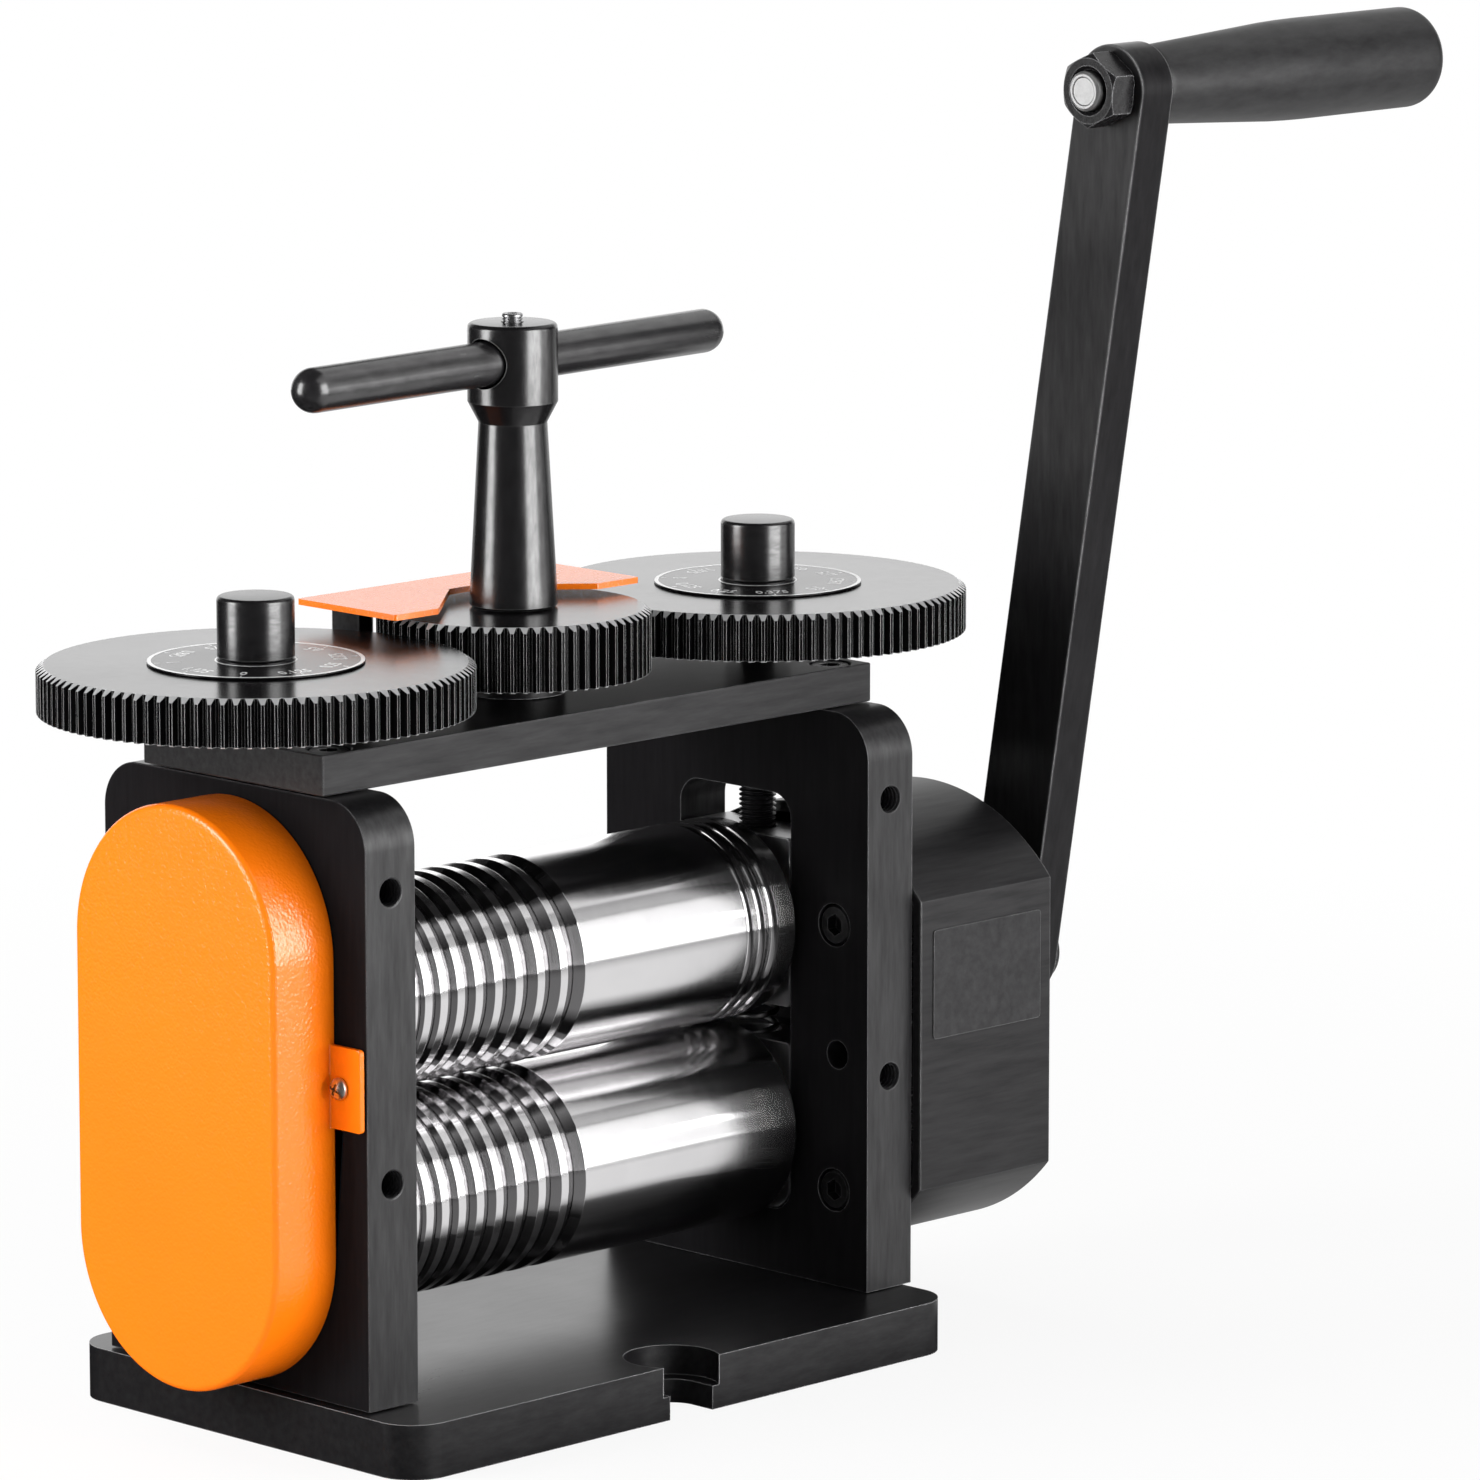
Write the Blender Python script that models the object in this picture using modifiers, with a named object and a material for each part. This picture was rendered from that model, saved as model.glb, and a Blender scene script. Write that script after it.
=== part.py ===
"""Hand-cranked combination rolling mill for a jeweller's bench.

Metres, +Z up. X runs along the rolls, the crank is at +X, and the sheet goes in from -Y.
The origin is on the underside of the base plate, under the middle of the rolls.
"""
import math

import bmesh
import bpy
from mathutils import Matrix

# Clearances
seat_gap = 0.0003
running_gap = 0.0002
hole_gap = 0.0003
cut_overrun = 0.002
merge_distance = 0.000001

# Frame plates
inner_width = 0.1567
upright_thickness = 0.0162
upright_depth = 0.0950
upright_height = 0.1496
upright_corner_radius = 0.0120
base_thickness = 0.0137
base_left_overhang = 0.0029
base_right_overhang = -0.0022
base_front_overhang = 0.0179
base_rear_overhang = 0.0118
base_corner_radius = 0.0107
bridge_thickness = 0.0100
bridge_depth = 0.0653

# Clamp slots in the base
slot_width = 0.0148
slot_inset = 0.0071
slot_counterbore_radius = 0.0120
slot_ledge = 0.0061

# Rolls
roll_radius = 0.0260
roll_gap = 0.00155
roll_closing = 0.0015
roll_opening = 0.0040
roll_end_clearance = 0.0034
lower_axis_height = 0.0529
neck_radius = 0.0123
gear_seat_radius = 0.0100
neck_overhang = 0.0025
flat_zone_start = -0.0007
first_groove_width = 0.00585
groove_width_step = 0.00045
groove_land = 0.00255
groove_count = 12
groove_depth_share = 0.26
roll_chamfer = 0.0010
oval_groove_centre = 0.0577
oval_groove_pitch = 0.0042
oval_groove_widths = (0.0025, 0.0030, 0.0040)
oval_depth_share = 0.40
end_shoulder_width = 0.0043
end_shoulder_depth = 0.0008

# Bearing blocks and springs
block_half_height = 0.0221
bush_wall = 0.0030
window_width = 0.0400
window_corner_radius = 0.0065
window_head_clearance = 0.0074
block_corner_radius = 0.0015
screw_foot_depth = 0.0050
spring_radius = 0.0050
spring_wire_radius = 0.0008
spring_turns = 3.5
spring_pocket_depth = 0.0040

# Coupling gears between the rolls
coupling_teeth = 12
coupling_width = 0.0125
coupling_addendum_share = 0.80
coupling_dedendum_share = 0.92
coupling_backlash = 0.0009

# Adjusting gears, screws and T-handle
side_gear_teeth = 105
centre_gear_teeth = 67
fine_addendum_share = 0.75
fine_dedendum_share = 1.00
fine_backlash = 0.00035
side_gear_width = 0.0119
side_gear_lift = 0.0061
centre_gear_width = 0.0163
centre_gear_lift = 0.0054
adjusting_screw_radius = 0.0048
screw_collar_radius = 0.0085
screw_collar_height = 0.0030
screw_spigot_radius = 0.0060
dial_radius = 0.0266
dial_thickness = 0.0008
knob_radius = 0.0095
knob_height = 0.0151
knob_bore_depth = 0.0100
centre_spigot_radius = 0.0069
centre_bush_radius = 0.0100
centre_flange_radius = 0.0130
centre_nut_radius = 0.0120
centre_nut_height = 0.0030
stem_foot_radius = 0.0111
stem_top_radius = 0.0086
stem_taper_height = 0.0463
stem_neck_height = 0.0050
stem_head_radius = 0.0113
stem_head_height = 0.0200
bar_seat_height = 0.0105
bar_radius = 0.0056
bar_length = 0.1557
bar_turn = math.radians(4.6)
set_screw_radius = 0.0026
set_screw_rise = 0.0022

# Orange guard over the centre gear
guard_width = 0.0840
guard_thickness = 0.0015
guard_height = 0.0231
guard_front = -0.0019
guard_rear = 0.0341
guard_mouth = 0.0550
guard_notch_reach = 0.0215
guard_notch_radius = 0.0065
guard_notch_shares = (0.27, 0.73)
post_outer = 0.0318
post_width = 0.0092
post_depth = 0.0100
post_spigot_depth_share = 0.38
post_spigot_width_share = 0.34
post_rear_inset = 0.0015
post_gear_clearance = 0.0010
post_spigot_radius = 0.0025
post_spigot_length = 0.0060

# Orange cover over the coupling gears
cover_radius = 0.03635
cover_height = 0.1454
cover_depth = 0.0197
cover_wall = 0.0015
cover_edge_radius = 0.0018
cover_base_clearance = 0.0008
tab_height = 0.0206
tab_reach = 0.0106
tab_centre_height = 0.0936
tab_screw_inset = 0.0070
tab_screw_radius = 0.0015
tab_head_radius = 0.0028
tab_head_height = 0.0020
tab_screw_length = 0.0070

# Gearbox
gear_module = 0.0015
reduction_teeth = 38
pinion_teeth = 17
drive_addendum_share = 0.80
drive_dedendum_share = 1.05
drive_backlash = 0.00030
reduction_width = 0.0180
crank_lean = math.radians(32.5)
housing_wall = 0.0030
housing_depth = 0.0487
housing_gear_clearance = 0.0011
housing_centre_y = -0.0064
housing_centre_rise = 0.0233
housing_flat_reach = 0.0440
pillar_radius = 0.0065
boss_radius = 0.0130
boss_clearance = 0.0067
retaining_nut_radius = 0.0140
retaining_nut_height = 0.0060

# Bare rating plate on the gearbox
rating_length = 0.0400
rating_height = 0.0285
rating_thickness = 0.0010
rating_corner_radius = 0.0010
rating_start = 0.0045
rating_bottom_height = 0.0775

# Crank
crank_shaft_radius = 0.0080
crank_bush_wall = 0.0022
crank_flange_radius = 0.0130
crank_flange_height = 0.0025
crank_collar_radius = 0.0110
crank_collar_length = 0.0056
crank_seat_radius = 0.0065
arm_length = 0.2340
arm_width = 0.0226
arm_thickness = 0.0116
arm_lean = math.radians(9.47)
crank_screw_radius = 0.0030
crank_screw_head_radius = 0.0090
crank_screw_head_height = 0.0040
crank_screw_length = 0.0120
stud_radius = 0.0051
stud_tail = 0.0017
stud_head_radius = 0.0080
stud_head_height = 0.0060
nut_radius = 0.0098
nut_height = 0.0080
grip_length = 0.1055
grip_neck_radius = 0.0100
grip_radius = 0.0132
grip_end_radius = 0.0050
grip_head_pocket = 0.0080

# Screws that hold the frame
socket_radius = 0.0030
socket_head_radius = 0.0050
socket_head_height = 0.0060
socket_reach = 0.0300
side_screw_front = 0.0119
side_screw_rear = 0.0187
side_screw_heights = (0.0391, 0.1083)
dowel_hole_radius = 0.0037
dowel_hole_front = 0.0107
dowel_hole_height = 0.0747
front_hole_radius = 0.0036
front_hole_depth = 0.0100
front_hole_heights = (0.0695, 0.1414)
base_screw_radius = 0.0040
base_screw_head_radius = 0.0065
base_screw_head_height = 0.0080
base_screw_reach = 0.0195
base_screw_inset = 0.0175
bridge_screw_inset = 0.00665
bridge_screw_reach = 0.0140
socket_radius_share = 0.95
socket_depth_share = 0.50

# Counts of facets
round_steps = 20
roll_steps = 22
small_round_steps = 12
hidden_round_steps = 8
corner_steps = 4
coil_steps = 9
wide_arc_steps = 10
flank_steps = 2
tall_flank_steps = 3
smooth_angle = math.radians(35)
pressure_angle = math.radians(20)
tall_pressure_angle = math.radians(27)

# Places worked out from the sizes above
half_inner = inner_width / 2
half_outer = half_inner + upright_thickness
half_depth = upright_depth / 2
upright_bottom = base_thickness + seat_gap
upright_top = upright_bottom + upright_height
bridge_bottom = upright_top + seat_gap
bridge_top = bridge_bottom + bridge_thickness
screw_x = half_inner + upright_thickness / 2
upper_axis_height = lower_axis_height + 2 * roll_radius + roll_gap
roll_half_length = half_inner - roll_end_clearance
bush_bore_radius = neck_radius + running_gap
bush_radius = bush_bore_radius + bush_wall
window_bottom = lower_axis_height - block_half_height - seat_gap
window_top = upper_axis_height + block_half_height + roll_opening + window_head_clearance
gear_start = half_outer + neck_overhang + seat_gap
fine_module = 2 * screw_x / (side_gear_teeth + centre_gear_teeth)
coupling_module = (2 * roll_radius + roll_gap - roll_closing) / coupling_teeth
side_gear_bottom = bridge_top + side_gear_lift
side_gear_top = side_gear_bottom + side_gear_width
dial_bottom = side_gear_top + seat_gap
knob_bottom = dial_bottom + dial_thickness + seat_gap
centre_gear_bottom = bridge_top + centre_gear_lift
centre_gear_top = centre_gear_bottom + centre_gear_width
centre_gear_radius = (centre_gear_teeth / 2 + fine_addendum_share) * fine_module
stem_bottom = centre_gear_top + seat_gap
head_bottom = stem_bottom + stem_taper_height + stem_neck_height
head_top = head_bottom + stem_head_height
bar_height = head_bottom + bar_seat_height
gear_distance = (reduction_teeth + pinion_teeth) / 2 * gear_module
crank_y = -gear_distance * math.sin(crank_lean)
crank_z = lower_axis_height + gear_distance * math.cos(crank_lean)
reduction_radius = (reduction_teeth / 2 + drive_addendum_share) * gear_module
housing_centre_z = lower_axis_height + housing_centre_rise
housing_radius = (math.hypot(housing_centre_y, housing_centre_rise) + reduction_radius
                  + housing_gear_clearance + housing_wall)
housing_start = half_outer + seat_gap
housing_end = housing_start + housing_depth
crank_bush_radius = crank_shaft_radius + running_gap + crank_bush_wall
crank_flange_end = housing_end + seat_gap + crank_flange_height
collar_end = crank_flange_end + seat_gap + crank_collar_length
arm_start = collar_end + seat_gap
arm_end = arm_start + arm_thickness
grip_y = crank_y - arm_length * math.sin(arm_lean)
grip_z = crank_z + arm_length * math.cos(arm_lean)
grip_start = arm_end + 3 * seat_gap
grip_end = grip_start + grip_length
cover_start = -half_outer - seat_gap
cover_bottom = upright_bottom + cover_base_clearance
side_screw_y = -half_depth + side_screw_front
rear_screw_y = half_depth - side_screw_rear
base_screw_y = half_depth - base_screw_inset
bridge_screw_y = bridge_depth / 2 - bridge_screw_inset

# Collections and finishes
for old in list(bpy.data.objects):
    bpy.data.objects.remove(old, do_unlink=True)
model = bpy.data.collections.new("rolling_mill")
tools = bpy.data.collections.new("cutters")
bpy.context.scene.collection.children.link(model)
bpy.context.scene.collection.children.link(tools)


def finish(name, colour, roughness, metallic):
    material = bpy.data.materials.new(name)
    material.use_nodes = True
    shader = material.node_tree.nodes["Principled BSDF"]
    shader.inputs["Base Color"].default_value = (*colour, 1)
    shader.inputs["Roughness"].default_value = roughness
    shader.inputs["Metallic"].default_value = metallic
    return material


black_steel = finish("black_steel", (0.035, 0.034, 0.036), 0.42, 0.6)
black_gear = finish("black_gear", (0.022, 0.022, 0.024), 0.32, 0.7)
polished_steel = finish("polished_steel", (0.62, 0.62, 0.62), 0.12, 1)
bare_steel = finish("bare_steel", (0.42, 0.42, 0.43), 0.35, 1)
bronze = finish("bronze", (0.45, 0.28, 0.10), 0.38, 1)
orange_paint = finish("orange_paint", (0.90, 0.22, 0.008), 0.45, 0)
black_grip = finish("black_grip", (0.030, 0.030, 0.032), 0.45, 0)


# Ways of making a piece
def place(piece, material, parent=None, where=(0, 0, 0), turn=(0, 0, 0)):
    """Gives a piece its finish, parent and place, and puts it in the model."""
    for collection in list(piece.users_collection):
        collection.objects.unlink(piece)
    model.objects.link(piece)
    if piece.type == "MESH":
        piece.data.shade_smooth()
        piece.data.set_sharp_from_angle(angle=smooth_angle)
    piece.data.materials.clear()
    piece.data.materials.append(material)
    piece.parent = parent
    piece.location = where
    piece.rotation_euler = turn
    return piece


def axis_empty(name, where, parent=None):
    """An empty that stands on a joint's axis."""
    empty = bpy.data.objects.new(name, None)
    model.objects.link(empty)
    empty.parent = parent
    empty.location = where
    return empty


def mesh_object(name, bm):
    """Turns a bmesh into an object."""
    mesh = bpy.data.meshes.new(name)
    bm.to_mesh(mesh)
    bm.free()
    piece = bpy.data.objects.new(name, mesh)
    tools.objects.link(piece)
    return piece


def applied(guide):
    """Swaps a curve, or a profile with its modifier, for the closed mesh that it gives."""
    seen = guide.evaluated_get(bpy.context.evaluated_depsgraph_get())
    mesh = bpy.data.meshes.new_from_object(seen)
    name = guide.name
    bpy.data.objects.remove(guide, do_unlink=True)
    bm = bmesh.new()
    bm.from_mesh(mesh)
    bpy.data.meshes.remove(mesh)
    bmesh.ops.remove_doubles(bm, verts=bm.verts, dist=merge_distance)
    return mesh_object(name, bm)


def block(name, low, high):
    """A box between two corners."""
    bm = bmesh.new()
    centre = [(a + b) / 2 for a, b in zip(low, high)]
    size = [b - a for a, b in zip(low, high)]
    matrix = Matrix.Translation(centre) @ Matrix.Diagonal((*size, 1))
    bmesh.ops.create_cube(bm, size=1, matrix=matrix)
    return mesh_object(name, bm)


def rod(name, radius, start, end, axis="X", across=(0, 0), steps=round_steps):
    """A round bar along an axis, from start to end, at the given place across it."""
    bm = bmesh.new()
    middle = (start + end) / 2
    u, v = across
    if axis == "X":
        matrix = Matrix.Translation((middle, u, v)) @ Matrix.Rotation(math.pi / 2, 4, "Y")
    elif axis == "Y":
        matrix = Matrix.Translation((u, middle, v)) @ Matrix.Rotation(-math.pi / 2, 4, "X")
    else:
        matrix = Matrix.Translation((u, v, middle))
    bmesh.ops.create_cone(bm, cap_ends=True, segments=steps, radius1=radius, radius2=radius,
                          depth=end - start, matrix=matrix)
    return mesh_object(name, bm)


def turned(name, profile, steps=round_steps, closed=False):
    """A turned piece about local Z. The profile is (radius, height), down the outer side."""
    bm = bmesh.new()
    points = [bm.verts.new((radius, 0, height)) for radius, height in profile]
    for first, second in zip(points, points[1:]):
        bm.edges.new((first, second))
    if closed:
        bm.edges.new((points[-1], points[0]))
    piece = mesh_object(name, bm)
    screw = piece.modifiers.new("turn", "SCREW")
    screw.steps = steps
    screw.render_steps = steps
    screw.use_merge_vertices = True
    screw.merge_threshold = merge_distance
    return applied(piece)


def ring_profile(inner, outer, top, bottom):
    """The profile of a plain ring."""
    return [(outer, top), (outer, bottom), (inner, bottom), (inner, top)]


def plate(name, outlines, thickness):
    """A flat piece in local XY, from filled outlines, centred on its thickness."""
    curve = bpy.data.curves.new(name, "CURVE")
    curve.dimensions = "2D"
    curve.fill_mode = "BOTH"
    curve.extrude = thickness / 2
    for outline in outlines:
        spline = curve.splines.new("POLY")
        spline.points.add(len(outline) - 1)
        for point, (x, y) in zip(spline.points, outline):
            point.co = (x, y, 0, 1)
        spline.use_cyclic_u = True
    flat = bpy.data.objects.new(name, curve)
    tools.objects.link(flat)
    return applied(flat)


def moved(piece, matrix):
    """Moves a piece's mesh, and leaves its origin where it is."""
    piece.data.transform(matrix)
    return piece


def upright_on_x(piece, x):
    """Stands a plate made in local XY across X, with its first axis along Y and its second along Z."""
    turn = Matrix(((0, 0, 1, x), (1, 0, 0, 0), (0, 1, 0, 0), (0, 0, 0, 1)))
    return moved(piece, turn)


def shape(piece, others, operation):
    """Cuts other pieces out of a piece, or joins them to it."""
    for other in others:
        tool = piece.modifiers.new(other.name, "BOOLEAN")
        tool.operation = operation
        tool.solver = "EXACT"
        tool.object = other
        other.hide_render = True
        other.display_type = "WIRE"
    return piece


def cut(piece, *others):
    return shape(piece, others, "DIFFERENCE")


def join(piece, *others):
    return shape(piece, others, "UNION")


# Outlines
def arc(centre, radius, start, end, steps):
    """Points of an arc, both ends included, angles in radians."""
    return [(centre[0] + radius * math.cos(start + (end - start) * i / steps),
             centre[1] + radius * math.sin(start + (end - start) * i / steps)) for i in range(steps + 1)]


def circle(radius, steps=round_steps, centre=(0, 0)):
    return arc(centre, radius, 0, 2 * math.pi, steps)[:-1]


def rounded_rectangle(left, right, bottom, top, radii, steps=corner_steps):
    """A rectangle whose corner radii are given from bottom left, counter-clockwise."""
    places = ((left, bottom, 1, 1), (right, bottom, -1, 1), (right, top, -1, -1), (left, top, 1, -1))
    points = []
    for number, ((x, y, sx, sy), radius) in enumerate(zip(places, radii)):
        start = math.pi + number * math.pi / 2
        if radius:
            points += arc((x + sx * radius, y + sy * radius), radius, start, start + math.pi / 2, steps)
        else:
            points.append((x, y))
    return points


def stadium(half_width, bottom, top, steps=wide_arc_steps):
    """A tall outline with round ends."""
    return (arc((0, top - half_width), half_width, 0, math.pi, steps)
            + arc((0, bottom + half_width), half_width, math.pi, 2 * math.pi, steps))


def involute(angle):
    return math.tan(angle) - angle


def gear_outline(teeth, module, addendum_share, dedendum_share, backlash, phase=0,
                 pressure=pressure_angle, steps=flank_steps):
    """A spur gear's outline with involute flanks, one tooth centred on the phase angle."""
    pitch = teeth * module / 2
    base = pitch * math.cos(pressure)
    outer = pitch + addendum_share * module
    root = pitch - dedendum_share * module
    half_tooth = math.pi / (2 * teeth) - backlash / (4 * pitch)
    start = max(base, root)
    flank = []
    for step in range(steps):
        radius = start + (outer - start) * step / (steps - 1)
        roll = math.acos(min(base / radius, 1))
        flank.append((radius, half_tooth + involute(pressure) - involute(roll)))
    flank[0] = (root, flank[0][1])
    points = []
    for tooth in range(teeth):
        middle = phase + 2 * math.pi * tooth / teeth
        for radius, half in flank:
            points.append((radius * math.cos(middle - half), radius * math.sin(middle - half)))
        for radius, half in reversed(flank):
            points.append((radius * math.cos(middle + half), radius * math.sin(middle + half)))
    return points


def socket_screw(name, head_radius, head_height, radius, length, steps=small_round_steps):
    """A cap screw with its head's underside at zero height and its shank below."""
    socket = radius * socket_radius_share
    depth = head_height * socket_depth_share
    profile = [(0, head_height - depth), (socket, head_height - depth), (socket, head_height),
               (head_radius, head_height), (head_radius, 0), (radius, 0), (radius, -length), (0, -length)]
    return turned(name, profile, steps)


# Base plate
def clamp_slot(name, edge, inward):
    """The stepped slot in one edge of the base, which takes a holding-down bolt."""
    middle = (base_right_overhang - base_left_overhang) / 2
    centre = edge + inward * slot_inset
    outside = edge - inward * cut_overrun
    low, high = sorted((centre, outside))
    narrow = slot_width / 2
    return (block(name + "_sides", (middle - narrow, low, -cut_overrun),
                  (middle + narrow, high, base_thickness + cut_overrun)),
            rod(name + "_end", narrow, -cut_overrun, base_thickness + cut_overrun, "Z",
                (middle, centre)),
            rod(name + "_counterbore", slot_counterbore_radius, slot_ledge,
                base_thickness + cut_overrun, "Z", (middle, centre)))


def screw_pocket(name, x, y, low, high, radius, head_low, head_high, head_radius):
    """A clearance hole with a counterbore, both upright."""
    return (rod(name, radius, low, high, "Z", (x, y), hidden_round_steps),
            rod(name + "_head", head_radius, head_low, head_high, "Z", (x, y), hidden_round_steps))


corners = [(x, y) for x in (-screw_x, screw_x) for y in (-1, 1)]
base = plate("base_plate", [rounded_rectangle(
    -half_outer - base_left_overhang, half_outer + base_right_overhang,
    -half_depth - base_front_overhang, half_depth + base_rear_overhang, [base_corner_radius] * 4)],
    base_thickness)
moved(base, Matrix.Translation((0, 0, base_thickness / 2)))
cut(base, *clamp_slot("front_slot", -half_depth - base_front_overhang, 1))
cut(base, *clamp_slot("rear_slot", half_depth + base_rear_overhang, -1))
base_head_top = base_screw_head_height + seat_gap
for x, side in corners:
    tag = "base_hole_" + ("l" if x < 0 else "r") + ("f" if side < 0 else "b")
    cut(base, *screw_pocket(tag, x, side * base_screw_y, -cut_overrun, base_thickness + cut_overrun,
                            base_screw_radius + hole_gap, -cut_overrun, base_head_top + seat_gap,
                            base_screw_head_radius + hole_gap))
place(base, black_steel)

for x, side in corners:
    name = "base_screw_" + ("left" if x < 0 else "right") + ("_front" if side < 0 else "_rear")
    screw = socket_screw(name, base_screw_head_radius, base_screw_head_height, base_screw_radius,
                         base_screw_reach, hidden_round_steps)
    place(screw, black_steel, where=(x, side * base_screw_y, base_head_top), turn=(math.pi, 0, 0))


# Uprights
def upright(name, side):
    """One side plate, with its window for the bearing blocks."""
    body = plate(name, [
        rounded_rectangle(-half_depth, half_depth, upright_bottom, upright_top,
                          (0, 0, upright_corner_radius, upright_corner_radius)),
        rounded_rectangle(-window_width / 2, window_width / 2, window_bottom, window_top,
                          [window_corner_radius] * 4)], upright_thickness)
    upright_on_x(body, side * screw_x)
    for height in front_hole_heights:
        cut(body, rod(name + "_front_hole", front_hole_radius, -half_depth - cut_overrun,
                      -half_depth + front_hole_depth, "Y", (side * screw_x, height), small_round_steps))
    cut(body, rod(name + "_screw_hole", adjusting_screw_radius + hole_gap,
                  window_top - cut_overrun, upright_top + cut_overrun, "Z", (side * screw_x, 0)))
    for end in (-1, 1):
        cut(body, rod(name + "_base_thread", base_screw_radius + hole_gap, upright_bottom - cut_overrun,
                      base_head_top + base_screw_reach + seat_gap, "Z",
                      (side * screw_x, end * base_screw_y), hidden_round_steps))
        cut(body, rod(name + "_bridge_thread", socket_radius + hole_gap,
                      upright_top - bridge_screw_reach - seat_gap, upright_top + cut_overrun, "Z",
                      (side * screw_x, end * bridge_screw_y), hidden_round_steps))
    return body


left_upright = upright("left_upright", -1)
tab_screw_y = cover_radius + tab_reach - tab_screw_inset
for end in (-1, 1):
    cut(left_upright, rod("tab_thread", tab_screw_radius + hole_gap, -half_outer - cut_overrun,
                          -half_outer + tab_screw_length, "X", (end * tab_screw_y, tab_centre_height),
                          small_round_steps))
place(left_upright, black_steel)

right_upright = upright("right_upright", 1)
housing_screws = [(side_screw_y, side_screw_heights[0]), (side_screw_y, side_screw_heights[1]),
                  (rear_screw_y, side_screw_heights[1])]
head_pocket = socket_head_height + seat_gap
for y, z in housing_screws:
    cut(right_upright,
        rod("side_screw_hole", socket_radius + hole_gap, half_inner - cut_overrun,
            half_outer + cut_overrun, "X", (y, z), small_round_steps),
        rod("side_screw_head", socket_head_radius + 2 * hole_gap, half_inner - cut_overrun,
            half_inner + head_pocket, "X", (y, z), small_round_steps))
cut(right_upright, rod("dowel_hole", dowel_hole_radius, half_inner - cut_overrun,
                       half_outer + cut_overrun, "X", (-half_depth + dowel_hole_front, dowel_hole_height),
                       small_round_steps))
place(right_upright, black_steel)

for number, (y, z) in enumerate(housing_screws, 1):
    screw = socket_screw("gearbox_screw_%d" % number, socket_head_radius, socket_head_height,
                         socket_radius, socket_reach - socket_head_height)
    place(screw, black_gear, where=(half_inner + head_pocket - seat_gap / 2, y, z),
          turn=(0, -math.pi / 2, 0))

# Bridge plate across the top
bridge = block("bridge_plate", (-half_outer, -bridge_depth / 2, bridge_bottom),
               (half_outer, bridge_depth / 2, bridge_top))
bridge_head_top = bridge_top - seat_gap
for x, side in corners:
    tag = "bridge_hole_" + ("l" if x < 0 else "r") + ("f" if side < 0 else "b")
    cut(bridge, *screw_pocket(tag, x, side * bridge_screw_y, bridge_bottom - cut_overrun,
                              bridge_top + cut_overrun, socket_radius + hole_gap,
                              bridge_head_top - socket_head_height - seat_gap, bridge_top + cut_overrun,
                              socket_head_radius + hole_gap))
for x in (-screw_x, screw_x):
    cut(bridge, rod("adjusting_hole", adjusting_screw_radius + hole_gap, bridge_bottom - cut_overrun,
                    bridge_top + cut_overrun, "Z", (x, 0)))
cut(bridge, rod("centre_bush_hole", centre_bush_radius + hole_gap, bridge_bottom - cut_overrun,
                bridge_top + cut_overrun, "Z"))
post_rear = guard_rear - post_rear_inset
post_middle_y = post_rear - post_depth * post_spigot_depth_share
post_middle_x = post_outer - post_width * post_spigot_width_share
for side in (-1, 1):
    cut(bridge, rod("post_hole", post_spigot_radius + hole_gap,
                    bridge_top - post_spigot_length - seat_gap, bridge_top + cut_overrun, "Z",
                    (side * post_middle_x, post_middle_y), hidden_round_steps))
place(bridge, black_steel)

for x, side in corners:
    name = "bridge_screw_" + ("left" if x < 0 else "right") + ("_front" if side < 0 else "_rear")
    reach = bridge_head_top - socket_head_height - upright_top + bridge_screw_reach
    screw = socket_screw(name, socket_head_radius, socket_head_height, socket_radius, reach,
                         hidden_round_steps)
    place(screw, black_steel, where=(x, side * bridge_screw_y, bridge_head_top - socket_head_height))

centre_bush_bore = centre_spigot_radius + running_gap
centre_flange_top = centre_gear_bottom - seat_gap
centre_bush = turned("centre_bush", [
    (centre_flange_radius, centre_flange_top), (centre_flange_radius, bridge_top + seat_gap),
    (centre_bush_radius, bridge_top + seat_gap), (centre_bush_radius, bridge_bottom + seat_gap),
    (centre_bush_bore, bridge_bottom + seat_gap), (centre_bush_bore, centre_flange_top)], closed=True)
place(centre_bush, black_gear)


# Bearing blocks, bushes and lifting springs
def bearing_block(name, side, height, lower):
    """A block that slides in the upright's window and holds one roll's bush."""
    half = window_width / 2 - seat_gap
    low_radius = window_corner_radius + seat_gap if lower else block_corner_radius
    body = plate(name, [rounded_rectangle(-half, half, -block_half_height, block_half_height,
                                          (low_radius, low_radius, block_corner_radius,
                                           block_corner_radius)),
                        circle(bush_radius + hole_gap)], upright_thickness)
    upright_on_x(body, 0)
    facing = 1 if lower else -1
    pocket_mouth = facing * (block_half_height + cut_overrun)
    pocket_floor = facing * (block_half_height - spring_pocket_depth)
    low, high = sorted((pocket_mouth, pocket_floor))
    pocket = rod(name + "_pocket", spring_radius + spring_wire_radius + hole_gap, low, high, "Z",
                 steps=small_round_steps)
    pocket.parent = body
    cut(body, pocket)
    if not lower:
        foot = rod(name + "_foot_hole", adjusting_screw_radius + hole_gap,
                   block_half_height - screw_foot_depth, block_half_height + cut_overrun, "Z")
        foot.parent = body
        cut(body, foot)
    return place(body, bare_steel, where=(side * screw_x, 0, height))


def bush(name, side, height):
    ring = turned(name, ring_profile(bush_bore_radius, bush_radius, upright_thickness / 2,
                                     -upright_thickness / 2), closed=True)
    return place(ring, bronze, where=(side * screw_x, 0, height), turn=(0, math.pi / 2, 0))


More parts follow.
